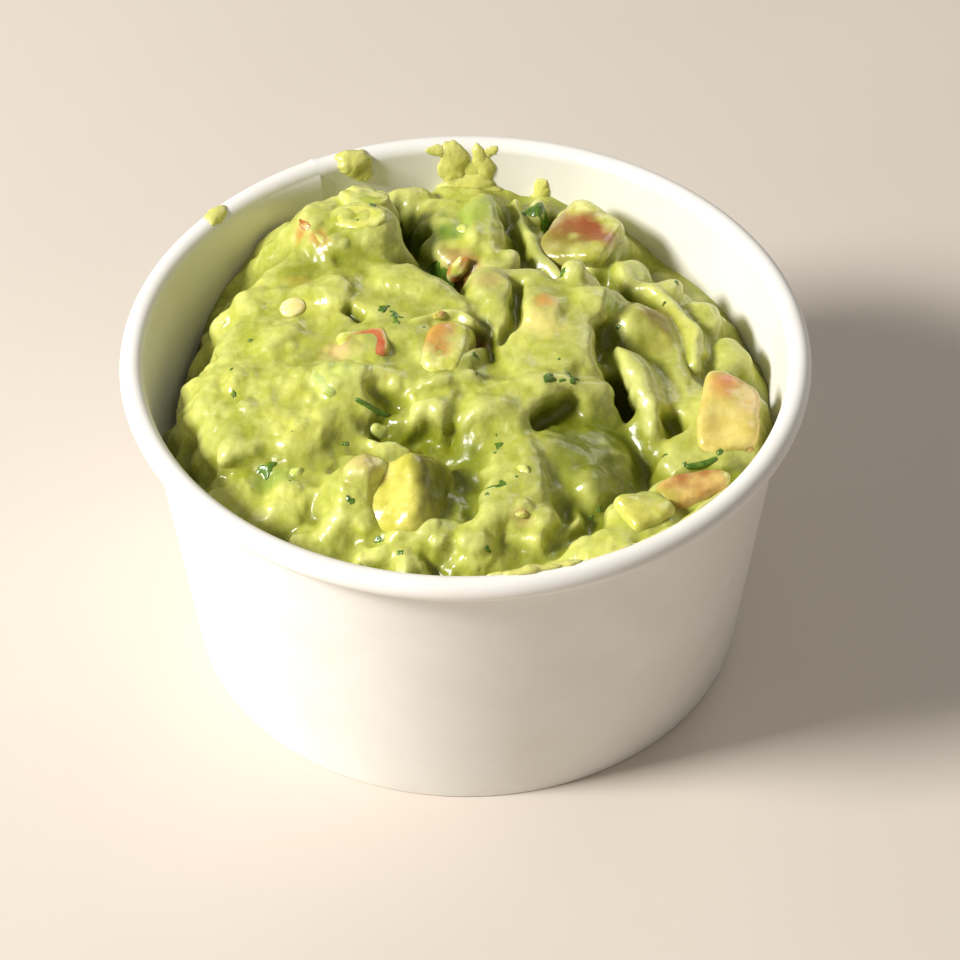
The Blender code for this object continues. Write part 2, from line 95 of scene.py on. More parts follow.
# node: size in mm, turns about x, y and z in degrees, taper, flesh colours, the middle (in half boxes) and
# the radius (in mm) of what the paste leaves bare, and the share of its height that the paste holds.
PIECES = {
    "tomato_right": ((7.6, 12.8, 7.6), (8, 0, -6), 0.12, "E0D07A", "D2BC5C", (0.2, -0.3, 0.4), 8.0, 0.60),
    "tomato_back": ((9.4, 11.4, 7.0), (6, -6, -30), 0.12, "B0643A", "84452A", (0.2, 0.2, 0.9), 0.4, 0.75),
    "tomato_centre": ((6.4, 9.0, 5.2), (8, 6, -14), -0.15, "D4A858", "BE8C40", (-0.4, 0.1, 0.6), 1.2, 0.80),
    "tomato_left": ((6.4, 6.0, 4.0), (4, -6, 12), 0.05, "C2603A", "CC7E4E", (0.2, -0.2, 0.9), 2.4, 0.95),
    "avocado_cube": ((10.6, 11.4, 10.4), (20, -32, -6), -0.10, "DDD66A", "BDB740", (0, -0.2, 0.3), 9.5, 0.45),
    "avocado_right": ((6.6, 6.0, 6.0), (0, 6, 30), 0.10, "DAD670", "C4BE4C", (0.0, 0.0, 0.6), 3.0, 0.75),
    "avocado_slice": ((8.2, 4.4, 5.0), (0, -4, 18), 0.20, "E0C070", "C0904A", (0.0, -0.4, 0.6), 5.0, 0.60),
    "avocado_pile": ((6.2, 4.4, 3.8), (6, -6, -8), 0.10, "E2DE76", "CFCF5C", (0.3, 0.0, 0.9), 1.2, 0.80),
    "pepper_pile": ((6.4, 3.2, 3.6), (0, 4, 6), 0.05, "BCC456", "A2B044", (0.3, -0.4, 0.9), 1.4, 0.80),
    "pepper_left": ((7.2, 5.2, 3.0), (-6, -4, 22), 0.20, "D4DC8C", "B4CC62", (0.0, -0.2, 0.9), 3.0, 0.85),
}


# ---------------------------------------------------------------------------------------------------
# The form of the heap: the same mounds, sheets, crests and creases as the solid, and finer ones
# ---------------------------------------------------------------------------------------------------

# Height of the line along which the heap meets the wall: bearing in degrees from +X, height in mm.
CONTACT = ((0, 31), (30, 33), (45, 37), (60, 40), (75, 42), (90, 42.5), (105, 39), (120, 33), (140, 29),
           (160, 26), (180, 24), (200, 26), (215, 29), (228, 36), (245, 40), (260, 41.5), (275, 42.5),
           (287, 45.5), (300, 47.5), (322, 47), (334, 43), (344, 34), (352, 31), (360, 31))
MIDDLE_HEIGHT = 38.5
BLEND = 0.8                       # mm over which neighbouring forms melt together
RELIEF = 0.20                     # share by which valleys are deepened and crests raised
RELIEF_REACH = 4.5                # mm, the width of what counts as a valley or a crest
COLLAR = 0.2                      # mm of paste round a piece

# Mounds: x, y, top, half length, half width, turn in degrees, edge radius, crown.
MOUNDS = (
    # the body that carries the rest
    (-20, 6, 45.0, 20, 26, 0, 7, 4),
    (-21, -14.5, 47.2, 13, 9, 15, 4, 2),
    (27, 10.5, 39.0, 17, 30, 0, 6, 2),
    (0, -26.5, 42.5, 32, 13, 0, 5, 3),
    (6, 35, 41.0, 24, 12, 0, 5, 2),
    (-4, -9.5, 46.5, 9, 8, 0, 3, 1.5),
    # the pile behind the left slab
    (-18, 27, 51.8, 7.5, 5.5, 5, 2.2, 1.2),
    (-21.5, 26.5, 52.6, 2.6, 2.8, 0, 1.3, 0.6),
    (-11.3, 30.5, 51.8, 2.6, 1.8, 0, 1.0, 0.4),
    (-19, 22, 52.2, 4, 2.4, -15, 2, 0.6),
    # the back
    (2.2, 30.5, 48.6, 2.4, 6, 3, 1.4, 0.5),
    (-1, 42, 44.5, 6, 4.5, 0, 3, 1.5),
    (-3, 36.5, 46.5, 3.5, 2.5, 0, 1.5, 0.6),
    (-9.4, 39.6, 46.4, 5.5, 2.6, 0, 2.2, 0.8),
    (-3.6, 30, 47.4, 2.4, 3.4, 10, 1.6, 0.6),
    (5.2, 23, 47.6, 3, 2.8, 0, 1.5, 0.6),
    (18, 27, 43.5, 4.5, 5.5, 0, 2.5, 1.2),
    (11.2, 38, 45, 1.8, 2.2, 0, 1.5, 0.5),
    # the slab's own swells
    (-8, 13.5, 52.2, 6.5, 3.2, -32, 2.4, 0.9),
    (-19, 12, 51.9, 5, 4, 20, 3, 1.0),
    (-26, 3, 51.0, 4.5, 3.5, 40, 3, 1.2),
    (-8.5, 2, 52.0, 4.5, 2.6, 10, 2.4, 0.8),
    (-22, -6, 51.2, 4.0, 2.4, -10, 2.2, 0.8),
    (-31, -5, 49.2, 3.4, 3.0, 30, 2.2, 0.9),
    (-26.5, -12.5, 49.0, 3.6, 2.2, -20, 1.8, 0.8),
    (-13.5, -6.6, 51.6, 3.4, 1.7, 12, 1.6, 0.5),
    # the middle
    (3.8, 11.5, 51.5, 3, 3.8, 0, 1.6, 0.6),
    (11.3, 7.5, 51.6, 3.2, 3.6, 0, 2, 0.6),
    (15.5, 14.6, 51.3, 1.3, 1.1, 0, 0.8, 0.3),
    (18.2, 9.6, 51.4, 4.4, 2.0, -5, 1.5, 0.6),
    (-4, -7.5, 51.2, 3.4, 1.4, -4, 0.9, 0.5),
    (-4.5, -12, 50.6, 3.3, 2.4, 0, 1.4, 0.6),
    (3.4, -11.6, 50.7, 3, 2, 25, 1.6, 0.5),
    (9, -7, 50.9, 4.5, 1.6, 12, 1.3, 0.4),
    (0.5, -7.0, 51.0, 2, 1.5, 0, 1, 0.4),
    (-11.5, -15.5, 49.4, 2, 1.4, 0, 1, 0.4),
    (-7, -13.5, 48.9, 3, 1, -10, 0.8, 0.3),
    (9.0, -17.0, 47.9, 18.0, 15.0, 0, 5.0, 8.0),
    (17.0, -23.2, 46.4, 3.2, 3.6, 10, 3.2, 1.2),
    (19.0, -1.0, 46.0, 4.0, 6.0, 0, 3.5, 1.5),
    (27.0, -4.0, 44.6, 7.0, 10.0, 0, 5.0, 1.0),
    # the front
    (-15.5, -25, 48.0, 5, 7, -10, 2.5, 1.0),
    (-14.2, -24, 50.4, 2.4, 2.0, 0, 1.2, 0.5),
    (-0.8, -24.5, 45.4, 2.6, 5.6, 0, 2.2, 0.8),
    (1.4, -34.2, 47.0, 2, 2.6, 0, 1.2, 0.5),
    (-3, -33.5, 46.3, 3.2, 2.2, 0, 1.3, 0.5),
    (-8, -34, 46, 3, 1.3, 0, 1, 0.3),
    (-27, -18, 45.2, 9, 9, 20, 4, 2),
    (-18, -29.5, 43.6, 8, 6, -25, 2.5, 1.2),
    (-32, -24, 43.8, 3.4, 2.8, -20, 1.4, 0.6),
    (-27, -26, 44.2, 3.8, 2.8, 0, 1.5, 0.6),
    (-20.5, -32.5, 43.8, 4, 2.6, -20, 1.5, 0.6),
    (-37.6, -9, 43.6, 2.2, 3, 25, 1, 0.5),
    (-36, -13, 42.6, 2.2, 4, 15, 1.4, 0.5),
    (-23, -23.5, 46.2, 5, 5, 0, 2.5, 1.0),
    (-21.5, -15, 48.6, 2.4, 1.4, 10, 0.9, 0.4),
    (-27, -11, 48, 4, 2.5, 0, 2, 0.5),
    (-14.2, -36, 44.3, 1.8, 1.3, 0, 0.8, 0.4),
    (-11.4, -36, 44.6, 1.7, 1.4, 0, 0.8, 0.4),
    (-8.2, -37, 45.0, 2.2, 2, 0, 1.0, 0.5),
    (5, -36.5, 43.8, 7, 3, 0, 2, 0.7),
    (10.4, -31.2, 47.0, 1.9, 1.7, 0, 1.2, 0.4),
    (8.6, -33.8, 46.0, 2.8, 2.2, 0, 1.2, 0.5),
    (14.8, -29.4, 45.2, 1.2, 2.4, -12, 1.6, 0.3),
    (19.5, -36.2, 47.6, 5.6, 2.6, 35, 1.3, 0.6),
    # the right
    (24.5, 23.5, 44.8, 2.4, 2.4, 0, 1.3, 0.5),
    (28.4, 19, 45.2, 2.8, 2.4, 0, 1.4, 0.5),
    (34.1, 14, 44.2, 2.6, 3.4, 0, 1.4, 0.5),
    (37.6, 6.5, 43.8, 2.8, 3.4, 0, 1.6, 0.6),
    (27.5, 11, 45.0, 3.0, 3.2, 0, 2, 0.6),
    (28.6, 3.0, 45.2, 4.6, 7.5, 8, 3.2, 0.8),
    (32.5, -1.8, 44.2, 3.6, 2.4, 0, 1.6, 0.6),
    (22, 16.5, 41.8, 3, 6, 10, 2, 0.8),
)

# Sheets that end in a cliff: top at the middle, edge radius, crown, rise per mm to the right and to the
# back, and the outline's corners, joined smoothly.
SHEETS = (
    # the big slab on the left
    (51.0, 1.8, 1.6, 0.08, 0.02, ((-38, -8), (-35, 5), (-30.5, 16), (-24, 24), (-14.5, 25), (-9, 18.5),
                                  (-3.7, 14), (0.3, 11), (1.2, 6.8), (0.4, 0.5), (-5, -6), (-13, -11),
                                  (-21, -17), (-31, -18.5))),
    # the lump at the back
    (47.8, 1.8, 1.2, 0, 0, ((-6.6, 27), (-5.2, 34), (-1, 36.5), (4, 36), (5, 24), (3, 22.5), (-6, 23.5))),
    # the lump right of the middle, with its tip, running down into the ridge
    (50.8, 1.4, 0.8, 0, 0, ((1, 10), (3, 16), (10, 16.5), (14, 13.5), (21.5, 11.5), (21.5, 9), (18.5, 3),
                            (16, -4), (9, -5.5), (5, -4), (3.5, 3.5))),
    # the ridge across the middle
    (50.0, 1.6, 0.8, 0, 0, ((-9, -2.5), (3, -2), (10, -3), (16.6, -4.5), (17, -7), (12.5, -8.8), (8.8, -12.5),
                            (4.5, -15), (-9, -11.5))),
    # the tongue that runs down to the front
    (48.2, 2.2, 0.6, 0.07, 0, ((2.0, -11.5), (4.5, -11), (8.8, -14.5), (11.6, -22), (11.4, -27), (9.6, -31),
                               (6, -33), (1.5, -33.5), (1.5, -29), (2.2, -21))),
    # the shelf around the avocado cube
    (45.8, 1.0, 0.6, 0, 0, ((-20.0, -18), (-20.2, -22.8), (-17.3, -28.2), (-13.4, -33.3), (-1.2, -35),
                            (-2.5, -24.5), (-12, -14.5))),
    # the mass on the right
    (45.2, 2.2, 1.2, 0.05, 0, ((30, -2.5), (34, -2.0), (41, -3), (41, -8), (38, -18), (32, -20.8), (28, -20),
                               (28, -12))),
)

# Crests: half width, edge radius, and the points of the route with their heights.
CRESTS = (
    # behind the back lump
    (1.1, 2.0, ((7.5, 40, 44.6), (9.4, 32.5, 46.0), (11.2, 26, 46.0), (13.6, 20.5, 45.0))),
    # the long ridge on the right
    (1.2, 1.6, ((20.5, 27, 44.4), (25, 20.5, 45.4), (29.2, 15, 45.9), (32, 9.2, 45.9), (33.4, 3.6, 45.0))),
    # the curl
    (2.0, 4.2, ((21.8, 2.4, 48.6), (24.2, -1.4, 48.6), (26.0, -5.4, 47.6), (26.8, -9, 46.2))),
    # the slab's lip over the tomato
    (0.7, 1.0, ((-6.6, 3.6, 52.2), (-2.2, 5.6, 52.4), (0.6, 4.2, 51.8))),
)

# Creases: half width, depth, and the points of the route.
CREASES = (
    (1.6, 4.0, ((13.6, 36), (13.8, 30), (15.5, 25))),
    (2.6, 9.0, ((-10.6, 35.6), (-9.2, 32.2), (-7.8, 29.4))),
    (1.6, 2.6, ((-7, 25.5), (-3.5, 22.6), (1, 19.2))),
    (1.6, 8.0, ((21.5, -3.8), (21.9, -5.8))),
    (1.6, 1.6, ((22.6, 11.0), (21.5, 6), (19.8, 2.5))),
    (1.1, 1.9, ((9.6, -12.6), (12.6, -10.0), (16.0, -8.4))),
    (1.9, 3.6, ((-11.5, -14.9), (-7, -14.6), (-2.5, -14.5))),
    (0.9, 1.8, ((7.6, 13), (6.9, 6), (5.4, 1.5))),
    (1.0, 0.9, ((-13.5, -9.5), (-11, -10), (-9, -11))),
    (1.3, 2.4, ((28.6, -7.8), (29.7, -9.6))),
    (0.9, 2.2, ((1.2, 3.5), (0.6, 1.2), (-1.6, -1.6))),
    (1.0, 1.4, ((-16.6, 8.0), (-15.2, 6.6))),
)


def cliff(inward, edge, steepest):
    """How far a form falls at a distance inward from its outline: nothing past the edge radius, then a
    parabola that grows steeper up to the steepest slope, and straight on from there."""
    out = 1 - np.minimum(inward / edge, 1.0)
    return edge * np.where(out < steepest, 0.5 * out ** 2, steepest * (out - 0.5 * steepest))


def smooth_route(points, closed, steps=6):
    """Points along the Catmull-Rom curve through a few corners."""
    corners = np.array(points, float)
    if closed:
        corners = np.vstack([corners[-1], corners, corners[:2]])
    else:
        corners = np.vstack([2 * corners[0] - corners[1], corners, 2 * corners[-1] - corners[-2]])
    t = (np.arange(steps) / steps)[:, None]
    a, b, c, d = (corners[i:len(corners) - 3 + i, None, :] for i in range(4))
    route = 0.5 * (2 * b + (c - a) * t + (2 * a - 5 * b + 4 * c - d) * t ** 2
                   + (3 * b - a - 3 * c + d) * t ** 3)
    route = route.reshape(-1, corners.shape[1])
    return route if closed else np.vstack([route, corners[-2]])


def distance_to_route(x, y, route, closed):
    """Distance to a route, and the third coordinate (the height) at the nearest place if it has one."""
    ends = np.roll(route, -1, axis=0) if closed else route[1:]
    best = np.full(x.shape, np.inf)
    height = np.zeros(x.shape)
    for start, end in zip(route, ends):
        run = end[:2] - start[:2]
        t = np.clip(((x - start[0]) * run[0] + (y - start[1]) * run[1]) / (run @ run), 0, 1)
        away = np.hypot(x - start[0] - t * run[0], y - start[1] - t * run[1])
        if len(start) == 3:
            height = np.where(away < best, start[2] + t * (end[2] - start[2]), height)
        best = np.minimum(best, away)
    return best, height


def is_inside(x, y, route):
    """True where a point lies inside a closed route (a ray towards +X crosses it an odd number of times)."""
    odd = np.zeros(x.shape, bool)
    for (x0, y0), (x1, y1) in zip(route, np.roll(route, -1, axis=0)):
        if y0 != y1:
            odd ^= ((y0 > y) != (y1 > y)) & (x < (x1 - x0) * (y - y0) / (y1 - y0) + x0)
    return odd


def mound_height(x, y, mound):
    """A flat-topped mound on a superellipse outline: top, less a crown, less the cliff round it."""
    centre_x, centre_y, top, half_length, half_width, turn, edge, crown = mound
    c, s = math.cos(math.radians(turn)), math.sin(math.radians(turn))
    along = (x - centre_x) * c + (y - centre_y) * s
    across = (y - centre_y) * c - (x - centre_x) * s
    reach = (np.abs(along / half_length) ** 2.2 + np.abs(across / half_width) ** 2.2) ** (1 / 2.2)
    inward = (1 - reach) * min(half_length, half_width)
    return top - crown * np.minimum(reach, 1.3) ** 2 - cliff(inward, edge, 1.35)


def sheet_height(x, y, sheet):
    """A sheet of paste: tilted and slightly crowned inside its outline, with a cliff along it."""
    top, edge, crown, rise_x, rise_y, corners = sheet
    middle_x, middle_y = np.mean(corners, axis=0)
    route = smooth_route(corners, True)
    away, _ = distance_to_route(x, y, route, True)
    inward = np.where(is_inside(x, y, route), away, -away)
    reach = 1 - np.clip(inward / inward.max(), 0, 1)
    tilt = rise_x * (x - middle_x) + rise_y * (y - middle_y)
    return top + tilt - crown * reach ** 2 - cliff(inward, edge, 2.6)


def crest_height(x, y, crest):
    """A narrow crest along a route."""
    half_width, edge, corners = crest
    away, height = distance_to_route(x, y, smooth_route(corners, False), False)
    return height - 0.5 * np.clip(away / half_width, 0, 1.3) ** 2 - cliff(half_width - away, edge, 1.3)


def collars():
    """A mound under each vegetable piece, a little wider than the piece, that holds a share of its
    height."""
    made = []
    for node, (*_, held) in PIECES.items():
        low, high = box_mm(node)
        middle, half = (low + high) / 2, (high - low) / 2
        top = low[2] + held * (high[2] - low[2])
        made.append((middle[0], middle[1], top, half[0] + COLLAR, half[1] + COLLAR, 0, 1.6, 0.3))
    return tuple(made)


def heap_height(x, y):
    """Height over a point: the smooth maximum of all forms (the log of their summed exponentials), less
    bell-shaped creases. The place is first shifted by slow noise, so that no outline is a true ellipse."""
    place = np.stack([x, y, 0 * x], -1)
    wide_x, wide_y = noise(place, 7.0, 11), noise(place, 7.0, 12)
    fine_x, fine_y = noise(place, 3.0, 13), noise(place, 3.0, 14)
    wx = x + 0.9 * wide_x + 0.5 * fine_x
    wy = y + 0.9 * wide_y + 0.5 * fine_y
    reach = np.hypot(x, y) / INSIDE_TOP_R
    bearing = np.degrees(np.arctan2(y, x)) % 360
    contact = np.interp(bearing, *zip(*CONTACT)) + 0.9 * wide_x + 0.7 * fine_x
    rise = np.clip((reach - 0.6) / 0.4, 0, 1)
    rise = rise * rise * (3 - 2 * rise)
    forms = [MIDDLE_HEIGHT + (contact - MIDDLE_HEIGHT) * rise]
    forms += [mound_height(wx, wy, mound) for mound in MOUNDS + collars()]
    forms += [sheet_height(wx, wy, sheet) for sheet in SHEETS]
    forms += [crest_height(wx, wy, crest) for crest in CRESTS]
    highest = np.max(forms, axis=0)
    height = highest + BLEND * np.log(sum(np.exp((form - highest) / BLEND) for form in forms))
    for half_width, depth, corners in CREASES:
        away, _ = distance_to_route(wx, wy, smooth_route(corners, False), False)
        height = height - depth * np.exp(-(away / half_width) ** 2)
    return height


# ---------------------------------------------------------------------------------------------------
# Noise and lumps
# ---------------------------------------------------------------------------------------------------

TABLE = 32


def noise(points, cell, seed):
    """Smooth noise from -1 to 1: random values on a lattice of the cell's size in mm, blended between
    its corners with the curve t^3 (6 t^2 - 15 t + 10). The lattice repeats every 32 cells."""
    values = np.random.default_rng(seed).uniform(-1, 1, (TABLE, TABLE, TABLE))
    p = points / cell
    low = np.floor(p).astype(int)
    t = p - low
    t = t ** 3 * (t * (t * 6 - 15) + 10)
    total = 0.0
    for corner in np.ndindex(2, 2, 2):
        i, j, k = ((low[..., axis] + corner[axis]) % TABLE for axis in range(3))
        weight = 1.0
        for axis in range(3):
            weight = weight * (t[..., axis] if corner[axis] else 1 - t[..., axis])
        total = total + weight * values[i, j, k]
    return total


def lumps(points, cell, share, seed):
    """Round lumps from 0 to 1: a share of the lattice's cells holds a ball at a random place, with a
    radius of 0.3 to 0.75 cells, and a point gets the highest of (1 - (distance / radius)^2)^0.75."""
    chance = np.random.default_rng(seed).random((TABLE, TABLE, TABLE, 5))
    p = points / cell
    low = np.floor(p).astype(int)
    best = np.zeros(p.shape[:-1])
    for near in np.ndindex(3, 3, 3):
        home = low + np.array(near) - 1
        i, j, k = (home[..., axis] % TABLE for axis in range(3))
        luck = chance[i, j, k]
        radius = 0.3 + 0.45 * luck[..., 3]
        away = np.linalg.norm(p - home - luck[..., :3], axis=-1) / radius
        dome = np.maximum(0, 1 - away ** 2) ** 0.75 * (luck[..., 4] < share)
        best = np.maximum(best, dome)
    return best


# ---------------------------------------------------------------------------------------------------
# Mesh helpers
# ---------------------------------------------------------------------------------------------------

def add_piece(name, vertices, faces, material, smooth=True):
    """A mesh object at the origin, from vertices in mm and a list of face arrays, riding on the body."""
    mesh = bpy.data.meshes.new(name)
    loops = np.concatenate([np.asarray(group).ravel() for group in faces]).astype(np.int32)
    sizes = np.concatenate([np.full(len(group), np.shape(group)[1]) for group in faces]).astype(np.int32)
    mesh.vertices.add(len(vertices))
    mesh.vertices.foreach_set("co", (np.asarray(vertices) * MM).astype(np.float32).ravel())
    mesh.loops.add(len(loops))
    mesh.loops.foreach_set("vertex_index", loops)
    mesh.polygons.add(len(sizes))
    mesh.polygons.foreach_set("loop_start", np.concatenate([[0], np.cumsum(sizes)[:-1]]).astype(np.int32))
    mesh.update(calc_edges=True)
    mesh.validate()
    if smooth:
        mesh.shade_smooth()
    mesh.materials.append(material)
    piece = bpy.data.objects.new(name, mesh)
    bpy.context.scene.collection.objects.link(piece)
    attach(piece, BODY)
    return piece


def add_attribute(piece, name, values):
    """A float attribute on the piece's points, for its material."""
    layer = piece.data.attributes.new(name, "FLOAT", "POINT")
    layer.data.foreach_set("value", np.asarray(values, np.float32).ravel())


def add_tint(piece, colours):
    """A colour attribute on the piece's points: linear red, green and blue, with the share as alpha."""
    layer = piece.data.attributes.new("tint", "FLOAT_COLOR", "POINT")
    layer.data.foreach_set("color", np.asarray(colours, np.float32).ravel())


def grid_faces(rows, columns, wrap=False):
    """Quads of a grid of rows by columns points, numbered row by row; wrap joins the last column to the
    first."""
    index = np.arange(rows * columns).reshape(rows, columns)
    right = np.roll(index, -1, axis=1) if wrap else index[:, 1:]
    left = index if wrap else index[:, :-1]
    return np.stack([left[:-1], right[:-1], right[1:], left[1:]], -1).reshape(-1, 4)


def grid_normals(points):
    """Unit normals of a grid of points: the cross product of its two directions of travel."""
    down = np.gradient(points, axis=0)
    along = np.gradient(points, axis=1)
    normal = np.cross(along, down)
    return normal / np.maximum(np.linalg.norm(normal, axis=-1, keepdims=True), 1e-9)


def blurred(values, reach):
    """A grid smoothed by a bell curve whose width is reach grid steps, along both directions."""
    half = int(3 * reach) + 1
    bell = np.exp(-0.5 * (np.arange(-half, half + 1) / reach) ** 2)
    bell /= bell.sum()
    for axis in (0, 1):
        pad = [(half, half) if a == axis else (0, 0) for a in (0, 1)]
        wide = np.pad(values, pad, mode="edge")
        size = values.shape[axis]
        values = sum(weight * np.take(wide, range(i, i + size), axis=axis) for i, weight in enumerate(bell))
    return values


def turned_piece(name, profile, bearings, material, closed):
    """A turned piece: the profile of (radius, height) points, top to bottom down its outer side, carried
    round Z through the bearings (radians). An open profile starts and ends on the axis."""
    profile = np.asarray(profile, float)
    on_axis = [] if closed else [profile[0], profile[-1]]
    body = profile if closed else profile[1:-1]
    count = len(bearings)
    vertices = np.stack([body[:, None, 0] * np.cos(bearings), body[:, None, 0] * np.sin(bearings),
                         body[:, None, 1] + 0 * bearings], -1).reshape(-1, 3)
    faces = [grid_faces(len(body), count, wrap=True)[:, ::-1]]
    if closed:
        last = (len(body) - 1) * count + np.arange(count)
        first = np.arange(count)
        faces.append(np.stack([last, first, np.roll(first, -1), np.roll(last, -1)], -1))
    else:
        top, bottom = len(vertices), len(vertices) + 1
        ring = np.arange(count)
        end = (len(body) - 1) * count + ring
        faces.append(np.stack([np.full(count, top), ring, np.roll(ring, -1)], -1))
        faces.append(np.stack([np.full(count, bottom), np.roll(end, -1), end], -1))
        vertices = np.vstack([vertices, [[0, 0, point[1]] for point in on_axis]])
    return add_piece(name, vertices, faces, material)


# ---------------------------------------------------------------------------------------------------
# Material helpers
# ---------------------------------------------------------------------------------------------------

def colour(hex_code):
    """An sRGB hex colour as linear red, green and blue, with alpha 1."""
    channels = [int(hex_code[i:i + 2], 16) / 255 for i in (0, 2, 4)]
    return tuple(c / 12.92 if c <= 0.04045 else ((c + 0.055) / 1.055) ** 2.4 for c in channels) + (1.0,)


def add_node(tree, kind, inputs=None, **settings):
    """A node of a tree, with its settings, and with each input set to a value or linked to a socket."""
    made = tree.nodes.new(kind)
    for key, value in settings.items():
        setattr(made, key, value)
    for key, value in (inputs or {}).items():
        if isinstance(value, bpy.types.NodeSocket):
            tree.links.new(value, made.inputs[key])
        else:
            made.inputs[key].default_value = value
    return made


def new_material(name):
    """An empty material: its tree, its Principled shader and the Object coordinates."""
    made = bpy.data.materials.new(name)
    made.use_nodes = True
    tree = made.node_tree
    shader = tree.nodes["Principled BSDF"]
    place = add_node(tree, "ShaderNodeTexCoord").outputs["Object"]
    return made, tree, shader, place


def spots(tree, place, size_mm, low, high, detail=2.0):
    """Soft noise with features of a size in mm, stretched to 0 to 1 between two of its levels."""
    cloud = add_node(tree, "ShaderNodeTexNoise", {"Vector": place, "Scale": 1 / (size_mm * MM),
                                                  "Detail": detail, "Roughness": 0.55})
    return add_node(tree, "ShaderNodeMapRange", {"Value": cloud.outputs["Fac"], "From Min": low,
                                                 "From Max": high}).outputs["Result"]


def mixed(tree, share, first, second):
    """Two colours mixed by a share, as a socket."""
    mix = add_node(tree, "ShaderNodeMix", data_type="RGBA")
    for socket, value in ((mix.inputs[0], share), (mix.inputs[6], first), (mix.inputs[7], second)):
        if isinstance(value, bpy.types.NodeSocket):
            tree.links.new(value, socket)
        else:
            socket.default_value = value
    return mix.outputs[2]


# ---------------------------------------------------------------------------------------------------
# Settings
# ---------------------------------------------------------------------------------------------------

class CupSettings(bpy.types.PropertyGroup):
    seam_bearing: bpy.props.FloatProperty(
        name="Seam bearing", description="Where the side sheet's overlap ends, from +X",
        default=math.radians(118), subtype="ANGLE")
    seam_step: bpy.props.FloatProperty(
        name="Seam step", description="Height of the step at the overlap, in mm", default=0.35, min=0, max=1)
    paper: bpy.props.FloatVectorProperty(
        name="Paper", description="Colour of the coated paperboard", size=4, subtype="COLOR",
        default=colour("F3F0EA"))


class PasteSettings(bpy.types.PropertyGroup):
    grid: bpy.props.IntProperty(
        name="Grid", description="Squares along the surface", default=300, min=60, max=310)
    mash: bpy.props.FloatProperty(
        name="Mash", description="Height of the mashed lumps, in mm", default=0.42, min=0, max=2)
    overhang: bpy.props.FloatProperty(
        name="Overhang", description="How far crests lean over what lies below them", default=0.6, min=0,
        max=2)
    # The light paste colour is also what crests are painted with as painted light.
    light: bpy.props.FloatVectorProperty(
        name="Light paste", description="Colour of the well mashed, creamy paste", size=4,
        subtype="COLOR", default=colour("E8E896"))
    middle: bpy.props.FloatVectorProperty(
        name="Middle paste", description="Colour of most of the paste", size=4, subtype="COLOR",
        default=colour("CACC58"))
    dark: bpy.props.FloatVectorProperty(
        name="Dark paste", description="Colour of the greener flesh from near the skin", size=4,
        subtype="COLOR", default=colour("98A02E"))


class PieceSettings(bpy.types.PropertyGroup):
    fineness: bpy.props.IntProperty(
        name="Fineness", description="Squares along each side of a piece", default=26, min=6, max=40)
    herbs: bpy.props.IntProperty(
        name="Herb crumbs", description="Number of small loose herb crumbs", default=26, min=0, max=200)


class StageSettings(bpy.types.PropertyGroup):
    key_power: bpy.props.FloatProperty(
        name="Key light", description="Power of the key light, in watts", default=11.4, min=0)
    window_power: bpy.props.FloatProperty(
        name="Window", description="Power of the wide soft light behind the cup, in watts", default=2.4,
        min=0)
    sky: bpy.props.FloatProperty(
        name="Fill", description="Strength of the even light from all round", default=0.26, min=0)
    floor: bpy.props.FloatVectorProperty(
        name="Floor", description="Colour of the floor", size=4, subtype="COLOR", default=colour("D6CCC0"))


# ---------------------------------------------------------------------------------------------------
# The cup
# ---------------------------------------------------------------------------------------------------

def paperboard(settings):
    """White coated paperboard: pressed from pulp, with a thin sheen from its coating, a very faint
    cloudiness, fibres that just lift the coating, and a few dark flecks of recycled pulp."""
    made, tree, shader, place = new_material("coated_paperboard")
    cloudy = spots(tree, place, 9.0, 0.35, 0.65)
    clean = mixed(tree, cloudy, colour("EFEBE3"), settings.paper[:])
    fleck = add_node(tree, "ShaderNodeTexVoronoi", {"Vector": place, "Scale": 1 / (7.0 * MM),
                                                    "Randomness": 1.0})
    dark = add_node(tree, "ShaderNodeMapRange", {"Value": fleck.outputs["Distance"], "From Min": 0.035,
                                                 "From Max": 0.05, "To Min": 1.0, "To Max": 0.0})
    rare = add_node(tree, "ShaderNodeMath", {0: fleck.outputs["Color"], 1: 0.93}, operation="GREATER_THAN")
    both = add_node(tree, "ShaderNodeMath", {0: dark.outputs["Result"], 1: rare.outputs[0]},
                    operation="MULTIPLY")
    tree.links.new(mixed(tree, both.outputs[0], clean, colour("8A7F70")), shader.inputs["Base Color"])
    fibres = add_node(tree, "ShaderNodeTexNoise", {"Vector": place, "Scale": 1 / (0.9 * MM), "Detail": 4.0})
    relief = add_node(tree, "ShaderNodeBump", {"Height": fibres.outputs["Fac"], "Strength": 0.12,
                                               "Distance": 0.00012})
    tree.links.new(relief.outputs["Normal"], shader.inputs["Normal"])
    shader.inputs["Roughness"].default_value = 0.46
    shader.inputs["IOR"].default_value = 1.48
    shader.inputs["Subsurface Weight"].default_value = 0.0
    return made


def seam_bearings(seam, count=320):
    """Bearings round the cup, with extra ones close to the seam."""
    plain = np.linspace(0, 2 * math.pi, count, endpoint=False)
    close = seam + np.radians(np.linspace(-0.9, 0.9, 13))
    return np.unique(np.concatenate([plain, close]) % (2 * math.pi))


